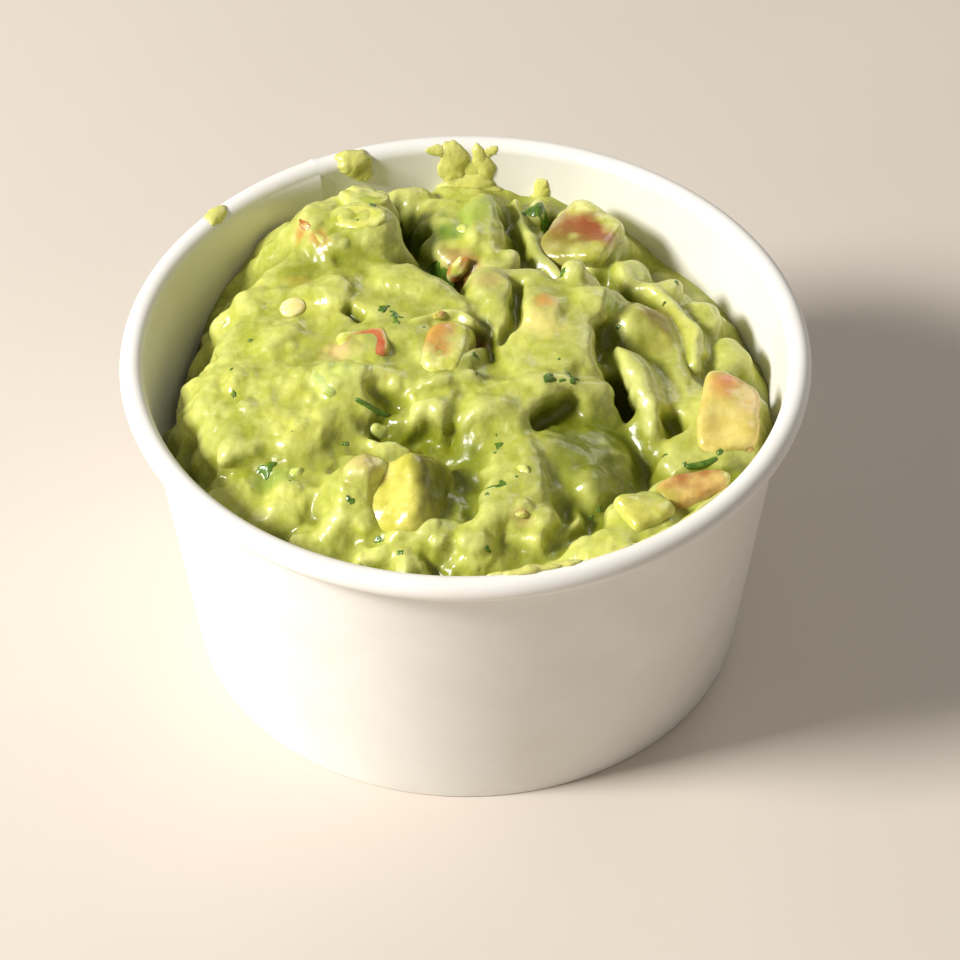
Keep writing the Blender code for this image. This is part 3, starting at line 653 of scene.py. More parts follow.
class GUAC_OT_cup_side(bpy.types.Operator):
    """Turn the side sheet with its rolled rim, its folded hem and the step of its glued overlap"""
    bl_idname = "guac.cup_side"
    bl_label = "Cup side"

    def execute(self, context):
        settings = context.scene.guac_cup
        roll_start = math.radians(180)
        roll_end = math.acos((ROLL_CENTRE_R - INSIDE_TOP_R - PAPER) / ROLL_R) - math.pi
        angles = np.linspace(roll_start, roll_end, 30)
        roll = np.stack([ROLL_CENTRE_R + ROLL_R * np.cos(angles),
                         ROLL_CENTRE_Z + ROLL_R * np.sin(angles)], -1)
        corner = np.radians(np.linspace(0, -90, 5))
        rounding = 0.3
        foot = np.stack([FOOT_R - rounding + rounding * np.cos(corner),
                         rounding + rounding * np.sin(corner)], -1)
        outer = np.linspace(roll[-1], foot[0], 26)[1:-1]
        fold_r = FOOT_R - HEM_WIDTH
        fold = PAPER * 0.9
        slot_floor = 2 * rounding
        inner_foot = [inside_radius(slot_floor), slot_floor]
        hem = [[fold_r + rounding, 0.0], [fold_r, rounding], [fold_r + LEAN * HEM_HEIGHT, HEM_HEIGHT],
               [fold_r + LEAN * HEM_HEIGHT + fold, HEM_HEIGHT],
               [fold_r + LEAN * slot_floor + fold, slot_floor], inner_foot]
        inner = np.linspace(inner_foot, roll[0], 26)[1:-1]
        profile = np.vstack([roll, outer, foot, hem, inner])
        bearings = seam_bearings(settings.seam_bearing)
        piece = turned_piece("cup_side", profile, bearings, paperboard(settings), True)
        self.add_seam(piece, settings, len(roll), len(profile), len(inner))
        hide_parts("cup_wall")
        return {"FINISHED"}

    def add_seam(self, piece, settings, roll_count, count, inner_count):
        """The overlap: the inner face steps inwards at the seam and eases back over a quarter turn, and
        the roll carries a small ridge there, a bell 1 mm wide."""
        points = np.empty(len(piece.data.vertices) * 3)
        piece.data.vertices.foreach_get("co", points)
        points = points.reshape(count, -1, 3)
        bearing = np.arctan2(points[..., 1], points[..., 0])
        past = (bearing - settings.seam_bearing + math.pi) % (2 * math.pi) - math.pi
        step = np.clip(past * INSIDE_TOP_R / 0.25, 0, 1) * np.clip(1 - past / math.radians(28), 0, 1)
        ridge = np.exp(-(past * INSIDE_TOP_R / 0.6) ** 2)
        row = np.arange(count)[:, None]
        on_inner = np.clip((row - (count - inner_count) + 2) / 3, 0, 1)
        on_roll = (row < roll_count) * np.sin(np.clip(row / roll_count, 0, 1) * math.pi)
        change = (-settings.seam_step * step * np.maximum(on_inner, row == 0)
                  + 0.14 * (ridge + step * 0.8) * on_roll) * MM
        away = np.hypot(points[..., 0], points[..., 1])
        points[..., :2] *= (1 + change / away)[..., None]
        points[..., 2] += 0.10 * MM * (ridge + 0.8 * step) * on_roll
        piece.data.vertices.foreach_set("co", points.ravel())
        piece.data.update()


class GUAC_OT_cup_base(bpy.types.Operator):
    """Turn the recessed base disc with its flange"""
    bl_idname = "guac.cup_base"
    bl_label = "Cup base"

    def execute(self, context):
        flange_foot, flange, corner = 1.0, PAPER * 0.9, 0.2
        gap = 0.3
        base_bottom = BASE_TOP - PAPER
        profile = [
            (0.0, BASE_TOP),
            (inside_radius(BASE_TOP) * 0.6, BASE_TOP),
            (inside_radius(BASE_TOP) - gap - corner, BASE_TOP),
            (inside_radius(BASE_TOP - corner) - gap, BASE_TOP - corner),
            (inside_radius(flange_foot) - gap, flange_foot),
            (inside_radius(flange_foot) - gap - flange, flange_foot),
            (inside_radius(base_bottom) - gap - flange, base_bottom),
            (inside_radius(base_bottom) * 0.6, base_bottom),
            (0.0, base_bottom),
        ]
        bearings = np.linspace(0, 2 * math.pi, 192, endpoint=False)
        piece = turned_piece("cup_disc", profile, bearings, paperboard(context.scene.guac_cup), False)
        piece.data.set_sharp_from_angle(angle=math.radians(40))
        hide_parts("cup_base")
        return {"FINISHED"}


# ---------------------------------------------------------------------------------------------------
# The paste
# ---------------------------------------------------------------------------------------------------

# Where the paste takes another colour, some of them painted shade on slopes and in dips and gaps: x, y, z,
# radius in mm, colour, strength from 0 to 1.
PASTE_TINTS_AND_SHADE = (
    (11.2, 8.0, 52, 1.6, "DC8848", 0.60),      # a tomato bit just under the film
    (11.5, 4.4, 51.5, 3.0, "ECDA88", 0.55),    # and its yellow pulp
    (8.5, 5.0, 51.5, 2.2, "E6DC84", 0.40),
    (3.4, 13.0, 51.5, 2.2, "C8A068", 0.45),
    (0.2, 2.0, 47, 2.4, "7A3A14", 0.85),       # tomato in the pocket under the slab's lip
    (-1.0, 21.5, 46, 3.0, "A05A38", 0.70),     # tomato in the valley behind the slab
    (27.4, 11.0, 45, 2.6, "8A5A24", 0.70),     # coated tomato in the right ridge
    (28.0, 6.5, 44, 2.8, "9A8A34", 0.45),
    (-23.4, 24.6, 50.6, 1.3, "D08040", 0.75),  # tomato beside the pile
    (-21.6, 22.2, 50.6, 1.3, "D08040", 0.70),
    (-20.2, 20.9, 50.6, 1.2, "C8762E", 0.70),
    (-24.0, 15.0, 50, 1.8, "B09A30", 0.55),
    (-17.8, -1.6, 51, 2.2, "E0AC84", 0.55),    # pale juice beside the left tomato
    (-3.3, -5.0, 50, 1.2, "6E4A10", 0.60),     # the shade under the coated tomato's tip
    (-1.0, 28.5, 47, 2.2, "7FA838", 0.60),     # greener flesh
    (2.0, 33.0, 48, 3.4, "94B040", 0.50),
    # painted shade in the deep gap between the pile and the back lump
    (-6.0, 29.0, 45, 4.0, "6E8418", 0.60),
    (-9.5, 34.0, 43, 4.5, "3E4A10", 0.80),
    (20.5, 10.0, 50, 1.8, "9DB430", 0.60),
    (7.6, -31.0, 46, 1.4, "D0A070", 0.60),
    (-14.0, -24.2, 50, 2.4, "D8B070", 0.45),
    (-26.0, -22.0, 45, 2.2, "7FA040", 0.60),
    (-17.6, -6.6, 50, 3.6, "BCD070", 0.50),    # a paler flake in the slab
    (31.0, -13.0, 45, 4.0, "B0B04A", 0.50),
    (10.0, 33.0, 46, 3.2, "7E8826", 0.55),     # painted shade, darker and greener, along the back crest
    (11.8, 26.5, 46, 3.2, "7E8826", 0.55),
    (16.5, -13.0, 47, 6.0, "7C8418", 0.65),    # painted shade, darker and greener, on the slopes right of the middle and beyond the curl
    (15.5, -20.0, 46, 5.6, "7C8418", 0.60),
    (22.0, -20.0, 44, 5.4, "84882C", 0.60),
    (21.5, -11.0, 45, 4.0, "7C8418", 0.50),
    (25.0, 0.5, 46, 3.4, "8A8E30", 0.45),
    (-2.5, -16.0, 46, 4.0, "848A20", 0.55),    # and painted shade in the dip beside the cube
    (0.8, -19.0, 44, 3.2, "747E1C", 0.60),
    (-0.4, -24.6, 44, 3.2, "747E1C", 0.60),
)


def paste_tints(points, tints):
    """Colour and share for each point: every tint fades out with a bell curve round its centre."""
    total = np.zeros(points.shape[:-1] + (4,))
    for x, y, z, radius, code, strength in tints:
        away = np.linalg.norm((points - [x, y, z]) * [1, 1, 0.6], axis=-1) / radius
        away = away * (1 + 0.35 * noise(points, 1.6, 71))
        share = strength * np.exp(-away ** 3)
        total[..., :3] += share[..., None] * np.array(colour(code)[:3])
        total[..., 3] += share
    total[..., :3] /= np.maximum(total[..., 3:], 1e-6)
    total[..., 3] = np.clip(total[..., 3], 0, 1)
    return total


def avocado_paste(settings, name="avocado_paste"):
    """Mashed avocado: wet, slightly see-through fat and fibre. Most is an even yellow green, clouded
    with creamy and greener flesh over a few mm and speckled finer than a mm. The film of oil and lime
    juice on it gives small sharp highlights and smooth patches between duller ones. Crests are painted
    lighter as painted light, valleys darker as painted shade, and some tints are painted shade."""
    made, tree, shader, place = new_material(name)
    wide = spots(tree, place, 11.0, 0.32, 0.68, 3.0)
    flecks = spots(tree, place, 2.2, 0.40, 0.66, 3.0)
    grains = spots(tree, place, 0.7, 0.35, 0.70, 2.0)
    crest = add_node(tree, "ShaderNodeAttribute", attribute_name="crest").outputs["Fac"]
    body = mixed(tree, wide, settings.middle[:], settings.dark[:])
    soft = add_node(tree, "ShaderNodeMath", {0: flecks, 1: 0.35}, operation="MULTIPLY").outputs[0]
    body = mixed(tree, soft, body, settings.light[:])
    # Painted light: raised crests are lightened towards the light paste colour, as where they catch the
    # light.
    raised = add_node(tree, "ShaderNodeMath", {0: crest, 1: 0.55}, operation="MULTIPLY").outputs[0]
    body = mixed(tree, raised, body, settings.light[:])
    speckle = add_node(tree, "ShaderNodeMath", {0: grains, 1: 0.16}, operation="MULTIPLY").outputs[0]
    body = mixed(tree, speckle, body, settings.dark[:])
    # Painted shade: valleys are darkened towards a deep olive, as where shade falls in them.
    hollow_shade = add_node(tree, "ShaderNodeAttribute", attribute_name="hollow_shade").outputs["Fac"]
    deep = add_node(tree, "ShaderNodeMath", {0: hollow_shade, 1: 0.9}, operation="MULTIPLY").outputs[0]
    body = mixed(tree, deep, body, colour("6E7406"))
    # Tints: colours of bits in the paste, and painted shade on some slopes and dips.
    tint = add_node(tree, "ShaderNodeAttribute", attribute_name="tint")
    body = mixed(tree, tint.outputs["Alpha"], body, tint.outputs["Color"])
    tree.links.new(body, shader.inputs["Base Color"])
    dull = spots(tree, place, 3.5, 0.35, 0.65)
    rough = add_node(tree, "ShaderNodeMapRange", {"Value": dull, "To Min": 0.22, "To Max": 0.42})
    tree.links.new(rough.outputs["Result"], shader.inputs["Roughness"])
    fine = add_node(tree, "ShaderNodeTexNoise", {"Vector": place, "Scale": 1 / (1.8 * MM), "Detail": 2.0,
                                                 "Roughness": 0.45})
    relief = add_node(tree, "ShaderNodeBump", {"Height": fine.outputs["Fac"], "Strength": 0.5,
                                               "Distance": 0.0005})
    tree.links.new(relief.outputs["Normal"], shader.inputs["Normal"])
    shader.inputs["IOR"].default_value = 1.45
    shader.inputs["Subsurface Weight"].default_value = 0.25
    shader.inputs["Subsurface Radius"].default_value = (1.0, 1.0, 0.3)
    shader.inputs["Subsurface Scale"].default_value = 1.0 * MM
    shader.inputs["Coat Weight"].default_value = 0.25
    shader.inputs["Coat Roughness"].default_value = 0.12
    return made


@functools.lru_cache(maxsize=2)
def heap_surface(grid, mash_height, overhang):
    """The heap's top as a grid of points, and for each how far it stands out of its surroundings and how
    deep it lies in them, from 0 to 1, which the paste's colour takes as painted light and painted shade.

    A square grid goes onto the disc with x' = x sqrt(1 - y^2 / 2), y' = y sqrt(1 - x^2 / 2), and is
    raised by heap_height. Crests lean outwards: a point moves against the slope of the smoothed heap by
    its height above it. The mash then lifts the surface along its own normal."""
    side = np.linspace(-1, 1, grid + 1)
    u, v = np.meshgrid(side, side)
    x = u * np.sqrt(1 - v ** 2 / 2) * INSIDE_TOP_R
    y = v * np.sqrt(1 - u ** 2 / 2) * INSIDE_TOP_R
    height = heap_height(x, y)
    step = 2 * INSIDE_TOP_R / grid
    reach = np.hypot(x, y) / INSIDE_TOP_R
    stand = np.clip(RELIEF * (height - blurred(height, RELIEF_REACH / step)), -2.6, 0.7)
    height = height + stand * np.clip((1 - reach) / 0.15, 0, 1)
    smooth = blurred(height, 1.5 / step)
    rise = np.clip(height - smooth, -1.6, 1.6)
    drop_row, drop_column = np.gradient(smooth)
    x_row, x_column = np.gradient(x)
    y_row, y_column = np.gradient(y)
    area = x_column * y_row - x_row * y_column
    area = np.where(np.abs(area) < 0.15 * step ** 2, 0.15 * step ** 2, area)
    slope_x = (drop_column * y_row - drop_row * y_column) / area
    slope_y = (drop_row * x_column - drop_column * x_row) / area
    steep = np.hypot(slope_x, slope_y)
    shift = overhang * rise / np.maximum(1, steep / 1.4)
    inland = np.clip((1 - reach) / 0.06, 0, 1)
    x = x - slope_x * shift * inland
    y = y - slope_y * shift * inland
    lean = np.clip((reach - 0.5) / 0.5, 0, 1)
    fit = 1 + ((inside_radius(height) + 0.12) / INSIDE_TOP_R - 1) * lean
    points = np.stack([x * fit, y * fit, height], -1)
    normal = grid_normals(points)
    normal *= np.sign(normal[..., 2:])
    lumpy = np.clip(0.45 - 0.018 * points[..., 0] - 0.006 * points[..., 1] + 0.5 * noise(points, 9.0, 26),
                    0.12, 1.0)
    torn = 1 - 2 * np.abs(noise(points, 5.5, 27)) - np.abs(noise(points, 2.6, 28))
    mash = (lumps(points, 3.4, 0.40, 21) * 1.0 * lumpy + lumps(points, 2.0, 0.40, 22) * 0.6 * lumpy
            + torn * 0.4 * (0.3 + lumpy) + noise(points, 4.0, 23) * 0.6
            + noise(points, 2.0, 24) * 0.35 * (0.3 + lumpy) + noise(points, 1.0, 25) * 0.08)
    edge = np.clip((1 - reach) / 0.03, 0, 1)
    points = points + normal * (mash_height * mash * edge)[..., None]
    away = np.hypot(points[..., 0], points[..., 1])
    limit = (inside_radius(points[..., 2]) + 0.12) / np.maximum(away, 1e-6)
    points[..., :2] *= np.minimum(limit, 1)[..., None]
    # Shares for painted light on crests and painted shade in valleys, from the height against its
    # surroundings.
    crest = np.clip((points[..., 2] - blurred(points[..., 2], 1.2 / step)) / 0.8, 0, 1)
    hollow_shade = np.clip((blurred(points[..., 2], 4.2 / step) - points[..., 2] + 0.15) / 1.7, 0, 1)
    return points, crest, hollow_shade


class GUAC_OT_paste(bpy.types.Operator):
    """Heap the guacamole: its uneven surface, closed by the cup's wall and its base"""
    bl_idname = "guac.paste"
    bl_label = "Guacamole"

    def execute(self, context):
        settings = context.scene.guac_paste
        points, crest, hollow_shade = heap_surface(settings.grid, settings.mash, settings.overhang)
        rows, columns = points.shape[:2]
        top = points.reshape(-1, 3)
        index = np.arange(rows * columns).reshape(rows, columns)
        border = np.concatenate([index[0, :-1], index[:-1, -1], index[-1, :0:-1], index[:0:-1, 0]])
        foot_scale = inside_radius(HEAP_BOTTOM) / np.hypot(top[border, 0], top[border, 1])
        foot = np.stack([top[border, 0] * foot_scale, top[border, 1] * foot_scale,
                         np.full(len(border), HEAP_BOTTOM)], -1)
        ring = len(top) + np.arange(len(border))
        centre = len(top) + len(border)
        vertices = np.vstack([top, foot, [[0, 0, HEAP_BOTTOM]]])
        skirt = np.stack([border, ring, np.roll(ring, -1), np.roll(border, -1)], -1)
        bottom = np.stack([np.full(len(ring), centre), np.roll(ring, -1), ring], -1)
        piece = add_piece("guacamole_paste", vertices, [grid_faces(rows, columns), skirt, bottom],
                          avocado_paste(settings))
        extra = len(border) + 1
        # The crest share paints light on the paste and the valley share paints shade; skirt and bottom count
        # as fully shaded.
        add_attribute(piece, "crest", np.concatenate([crest.ravel(), np.zeros(extra)]))
        add_attribute(piece, "hollow_shade", np.concatenate([hollow_shade.ravel(), np.ones(extra)]))
        tints = paste_tints(points, PASTE_TINTS_AND_SHADE).reshape(-1, 4)
        add_tint(piece, np.vstack([tints, np.zeros((extra, 4))]))
        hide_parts("guacamole")
        return {"FINISHED"}


# ---------------------------------------------------------------------------------------------------
# The pieces in the paste
# ---------------------------------------------------------------------------------------------------

FILM_EDGE = 1.8                   # mm over which the film of paste thickens

# Where a piece takes another colour, a few of them painted shade: x, y, z, radius in mm, colour, strength
# from 0 to 1.
PIECE_TINTS_AND_SHADE = (
    (36.4, -6.0, 47.6, 1.8, "D8763A", 0.55),   # the orange streak on the right tomato
    (38.0, -4.6, 47.0, 1.6, "D8763A", 0.45),
    (40.6, -8.6, 45.0, 3.0, "E4BC84", 0.50),   # its peach edge
    (29.6, -25.4, 48.4, 1.3, "A85A28", 0.75),  # the brown upper edge of the slice
    (32.6, -24.2, 48.4, 1.3, "A85A28", 0.70),
    (-12.2, -24.0, 48.6, 1.4, "D8A868", 0.45), # pinkish juice on the cube
    (15.6, 31.6, 47.3, 2.4, "A4643E", 0.75),   # the red streak along the back tomato
    (18.2, 29.6, 47.3, 2.2, "9C4628", 0.85),
    (20.7, 27.7, 46.8, 2.2, "B46A48", 0.75),
    (13.0, 29.4, 45.0, 4.2, "8A7030", 0.60),   # painted shade, brown, on its side
    (-3.4, -24.6, 49.0, 3.6, "68681C", 0.85),  # painted shade on the right side of the cube, which faces away from the key light
    (-3.4, -29.0, 46.0, 3.6, "68681C", 0.80),
    (-9.4, -30.8, 42.6, 0.9, "5A4418", 0.80),  # and a brown speck on its front
    (16.4, 26.2, 44.0, 3.8, "8E8C34", 0.55),
    (26.6, -29.0, 48.0, 1.8, "9CB434", 0.60),  # the green edge of the right avocado
    (13.4, 32.7, 47.2, 1.4, "D8DCA0", 0.50),
    (-3.4, 1.6, 52.0, 1.6, "CE7A34", 0.75),    # the bare back edge of the coated tomato
    (-6.8, -1.8, 50.6, 1.8, "9A6420", 0.55),
    (-0.8, -1.4, 51.4, 2.0, "DDE08A", 0.50),   # and its pale tip
)


def cube_surface(count):
    """A cube from -1 to 1 as six grids of two parameters, with the points on its edges merged."""
    side = np.linspace(-1, 1, count + 1)
    u, v = (grid.ravel() for grid in np.meshgrid(side, side))
    one = np.ones_like(u)
    grids = [np.stack(axes, -1) for axes in ((u, v, one), (v, u, -one), (one, u, v), (-one, v, u),
                                             (v, one, u), (u, -one, v))]
    every = np.vstack(grids)
    faces = np.vstack([grid_faces(count + 1, count + 1) + i * len(u) for i in range(6)])
    _, first, merged = np.unique(np.round(every, 6), axis=0, return_index=True, return_inverse=True)
    return every[first], merged.ravel()[faces]


def chunk_points(cube, size, taper):
    """A hand-cut piece: a cube rounded to |x|^5 + |y|^5 + |z|^5 = 1.05^5, waved, and narrowed towards
    one end."""
    place = 1.05 * cube / np.sum(np.abs(cube) ** 5, axis=1, keepdims=True) ** 0.2
    phase = sum(size)
    wave = np.sin(2.9 * place[:, 0] + phase) * np.cos(2.3 * place[:, 1] + 1.7 * place[:, 2] + phase)
    place = place * (1 + 0.08 * wave)[:, None]
    x = place[:, 0] * (1 + taper * place[:, 2])
    y = place[:, 1] * (1 - taper * x)
    return np.stack([x, y, place[:, 2]], -1) * np.array(size) / 2


def vegetable_flesh(name, light, dark, settings):
    """Cut vegetable flesh, wet and slightly see-through, with pale and dark cells over half a mm to a few
    mm. Round what is bare, a film of paste covers it."""
    made, tree, shader, place = new_material(name)
    cells = spots(tree, place, 2.4, 0.36, 0.66, 3.0)
    fibres = spots(tree, place, 0.6, 0.38, 0.68, 2.0)
    flesh = mixed(tree, cells, colour(light), colour(dark))
    pale = add_node(tree, "ShaderNodeMath", {0: fibres, 1: 0.25}, operation="MULTIPLY").outputs[0]
    flesh = mixed(tree, pale, flesh, colour(light))
    film = add_node(tree, "ShaderNodeAttribute", attribute_name="film").outputs["Fac"]
    paste = mixed(tree, spots(tree, place, 2.2, 0.40, 0.66), settings.middle[:], settings.light[:])
    body = mixed(tree, film, flesh, paste)
    # Tints: colours on the piece, and on some pieces painted shade.
    tint = add_node(tree, "ShaderNodeAttribute", attribute_name="tint")
    body = mixed(tree, tint.outputs["Alpha"], body, tint.outputs["Color"])
    tree.links.new(body, shader.inputs["Base Color"])
    dull = spots(tree, place, 1.8, 0.2, 0.8, 4.0)
    rough = add_node(tree, "ShaderNodeMapRange", {"Value": dull, "To Min": 0.16, "To Max": 0.34})
    tree.links.new(rough.outputs["Result"], shader.inputs["Roughness"])
    relief = add_node(tree, "ShaderNodeBump", {"Height": dull, "Strength": 0.4, "Distance": 0.0004})
    tree.links.new(relief.outputs["Normal"], shader.inputs["Normal"])
    shader.inputs["IOR"].default_value = 1.42
    shader.inputs["Subsurface Weight"].default_value = 0.4
    shader.inputs["Subsurface Radius"].default_value = (1.0, 0.8, 0.35)
    shader.inputs["Subsurface Scale"].default_value = 1.0 * MM
    shader.inputs["Coat Weight"].default_value = 0.4
    shader.inputs["Coat Roughness"].default_value = 0.08
    return made


def chunk_piece(node, context):
    """One vegetable piece, on the place of its solid, with a film of paste that grows outside its bare
    part (the distance to the bare part's middle, less its radius, over the film's soft edge)."""
    size, turns, taper, light, dark, bare, bare_radius, _ = PIECES[node]
    low, high = box_mm(node)
    middle, half = (low + high) / 2, (high - low) / 2
    cube, faces = cube_surface(context.scene.guac_pieces.fineness)
    local = chunk_points(cube, size, taper)
    turn = np.array(Euler([math.radians(t) for t in turns]).to_matrix())
    points = local @ turn.T
    points += middle - (points.min(axis=0) + points.max(axis=0)) / 2
    outward = local / np.linalg.norm(local, axis=1, keepdims=True) @ turn.T
    rough = 0.30 * noise(points, 3.6, 31) + 0.14 * noise(points, 1.6, 32) + 0.04 * noise(points, 0.8, 33)
    points = points + outward * rough[:, None]
    away = np.linalg.norm(points - middle - np.array(bare) * half, axis=1)
    film = (away - bare_radius) / FILM_EDGE + 0.9 * noise(points, 2.6, 34) + 0.4 * noise(points, 1.1, 35)
    material = vegetable_flesh(node + "_flesh", light, dark, context.scene.guac_paste)
    piece = add_piece(node + "_piece", points, [faces], material)
    add_attribute(piece, "film", np.clip(film, 0, 1) ** 0.7)
    add_tint(piece, paste_tints(points, PIECE_TINTS_AND_SHADE))
    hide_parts(node)
    return piece


def chunk_group(context, word):
    """Every piece whose node's name starts with the word."""
    for node in PIECES:
        if node.startswith(word):
            chunk_piece(node, context)


class GUAC_OT_tomato(bpy.types.Operator):
    """Seat the tomato pieces"""
    bl_idname = "guac.tomato"
    bl_label = "Tomato"

    def execute(self, context):
        chunk_group(context, "tomato")
        return {"FINISHED"}


class GUAC_OT_avocado(bpy.types.Operator):
    """Seat the avocado pieces"""
    bl_idname = "guac.avocado"
    bl_label = "Avocado"

    def execute(self, context):
        chunk_group(context, "avocado")
        return {"FINISHED"}


class GUAC_OT_pepper(bpy.types.Operator):
    """Seat the chilli pepper pieces"""
    bl_idname = "guac.pepper"
    bl_label = "Chilli pepper"

    def execute(self, context):
        chunk_group(context, "pepper")
        return {"FINISHED"}


# ---------------------------------------------------------------------------------------------------
# Small things on the heap and on the cup
# ---------------------------------------------------------------------------------------------------

CELL = 0.4                        # mm, of the raster that small things are laid on


@functools.lru_cache(maxsize=2)
def heap_top(grid, mash_height, overhang):
    """Height of the heap on a square raster: the highest point over each cell, with empty cells filled
    from their neighbours."""
    points, _, _ = heap_surface(grid, mash_height, overhang)
    count = int(2 * INSIDE_TOP_R / CELL) + 3
    raster = np.full((count, count), -np.inf)
    cell = np.rint((points[..., :2] + INSIDE_TOP_R) / CELL).astype(int) + 1
    np.maximum.at(raster, (cell[..., 1].ravel(), cell[..., 0].ravel()), points[..., 2].ravel())
    for _ in range(3):
        near = np.max([np.roll(raster, shift, axis) for shift in (-1, 1) for axis in (0, 1)], axis=0)
        raster = np.where(np.isinf(raster), near, raster)
    return np.where(np.isinf(raster), HEAP_BOTTOM, raster)


def drape(context, x, y):
    """Height of the heap under each place, between the four cells round it."""
    settings = context.scene.guac_paste
    raster = heap_top(settings.grid, settings.mash, settings.overhang)
    column = np.clip((x + INSIDE_TOP_R) / CELL + 1, 0, raster.shape[1] - 1.001)
    row = np.clip((y + INSIDE_TOP_R) / CELL + 1, 0, raster.shape[0] - 1.001)
    i, j = np.floor(row).astype(int), np.floor(column).astype(int)
    a, b = row - i, column - j
    return ((1 - a) * ((1 - b) * raster[i, j] + b * raster[i, j + 1])
            + a * ((1 - b) * raster[i + 1, j] + b * raster[i + 1, j + 1]))


def tangent_frame(context, x, y, reach=1.2):
    """A place on the heap and three unit directions there: along, across and outwards. The slope is
    taken between places a little way to each side."""
    x, y = np.array(x, float), np.array(y, float)
    z = drape(context, x, y)
    east = (drape(context, x + reach, y) - drape(context, x - reach, y)) / (2 * reach)
    north = (drape(context, x, y + reach) - drape(context, x, y - reach)) / (2 * reach)
    out = np.array([-east, -north, 1.0]) / math.sqrt(1 + east ** 2 + north ** 2)
    along = np.array([1.0, 0.0, east]) / math.sqrt(1 + east ** 2)
    return np.array([x, y, z]), along, np.cross(out, along), out


def lens(top, bottom):
    """Vertices, quads and triangles of a closed lens, from two polar grids of points (ring by bearing).
    The first ring of each is its pole, and the last ring, the rim, is shared."""
    rings, columns = top.shape[:2]
    vertices = np.vstack([top[0, :1], top[1:].reshape(-1, 3), bottom[1:-1].reshape(-1, 3), bottom[0, :1]])
    ring = np.arange(columns)
    upper = 1 + np.arange(rings - 1)[:, None] * columns + ring
    lower = 1 + (rings - 1 + np.arange(rings - 2))[:, None] * columns + ring
    lower = np.vstack([lower, upper[-1:]])
    quads, triangles = [], []
    for rows, pole, turn in ((upper, 0, 1), (lower, len(vertices) - 1, -1)):
        beside = np.roll(rows, -1, axis=1)
        quad = np.stack([rows[:-1], rows[1:], beside[1:], beside[:-1]], -1).reshape(-1, 4)
        triangle = np.stack([np.full(columns, pole), rows[0], beside[0]], -1)
        quads.append(quad[:, ::turn])
        triangles.append(triangle[:, ::turn])
    return vertices, np.vstack(quads), np.vstack(triangles)


def joined(parts):
    """Several parts (vertices, quads, triangles) numbered as one: vertices and the list of faces."""
    starts = np.cumsum([0] + [len(part[0]) for part in parts[:-1]])
    vertices = np.vstack([part[0] for part in parts])
    quads = np.vstack([part[1] + start for part, start in zip(parts, starts)])
    triangles = np.vstack([part[2] + start for part, start in zip(parts, starts)])
    return vertices, [quads, triangles]


def polar(rings, columns):
    """A polar grid: share of the way out (rings, columns) and bearing in radians."""
    bearings = np.linspace(0, 2 * math.pi, columns, endpoint=False)
    return np.meshgrid(np.linspace(0, 1, rings), bearings, indexing="ij")


def leaf(context, x, y, length, width, turn, seed):
    """A torn piece of leaf laid on the heap: its outline swings in and out three to five times, and its
    face ripples so that parts of it dip under the paste."""
    luck = np.random.default_rng(seed)
    share, bearing = polar(7, 36)
    lobes = luck.integers(3, 6)
    swing = 1 + 0.22 * np.cos(lobes * bearing + luck.uniform(0, 6)) + 0.10 * np.cos(7 * bearing + seed)
    a = 0.5 * length * share * swing * np.cos(bearing)
    b = 0.5 * width * share * swing * np.sin(bearing)
    c, s = math.cos(math.radians(turn)), math.sin(math.radians(turn))
    px, py = x + a * c - b * s, y + a * s + b * c
    place = np.stack([px, py, 0 * px], -1)
    lift = 0.04 + 0.24 * noise(place, 1.3, seed) - 0.22 * share ** 4
    z = drape(context, px, py) + lift
    top = np.stack([px, py, z], -1)
    bottom = top - np.array([0, 0, 0.16]) * (1 - share ** 6)[..., None]
    return lens(top, bottom)


def strand(context, route, radius, sink, seed):
    """A stalk: a tube along a route laid on the heap, thinner at its ends and sunk by a share of its
    radius. Each ring is square to the route."""
    path = smooth_route(route, False, 8)
    z = drape(context, path[:, 0], path[:, 1])
    z = np.convolve(np.pad(z, 2, mode="edge"), np.ones(5) / 5, mode="valid")
    middle = np.stack([path[:, 0], path[:, 1], z - sink * radius], -1)
    run = np.gradient(middle, axis=0)
    run /= np.linalg.norm(run, axis=1, keepdims=True)
    side = np.cross(run, [0, 0, 1.0])
    side /= np.linalg.norm(side, axis=1, keepdims=True)
    rise = np.cross(side, run)
    along = np.linspace(-1, 1, len(path))
    girth = radius * (1 - along ** 6) ** 0.5 * (1 + 0.15 * noise(middle, 1.5, seed))
    bearing = np.linspace(0, 2 * math.pi, 12, endpoint=False)
    around = side[:, None] * np.cos(bearing)[:, None] + rise[:, None] * np.sin(bearing)[:, None]
    rings = middle[:, None] + around * girth[:, None, None]
    body = rings[1:-1]
    vertices = np.vstack([body.reshape(-1, 3), middle[:1], middle[-1:]])
    count, columns = len(body), len(bearing)
    quads = grid_faces(count, columns, wrap=True)
    first, last = np.arange(columns), (count - 1) * columns + np.arange(columns)
    triangles = np.vstack([
        np.stack([np.full(columns, len(vertices) - 2), np.roll(first, -1), first], -1),
        np.stack([np.full(columns, len(vertices) - 1), last, np.roll(last, -1)], -1)])
    return vertices, quads, triangles


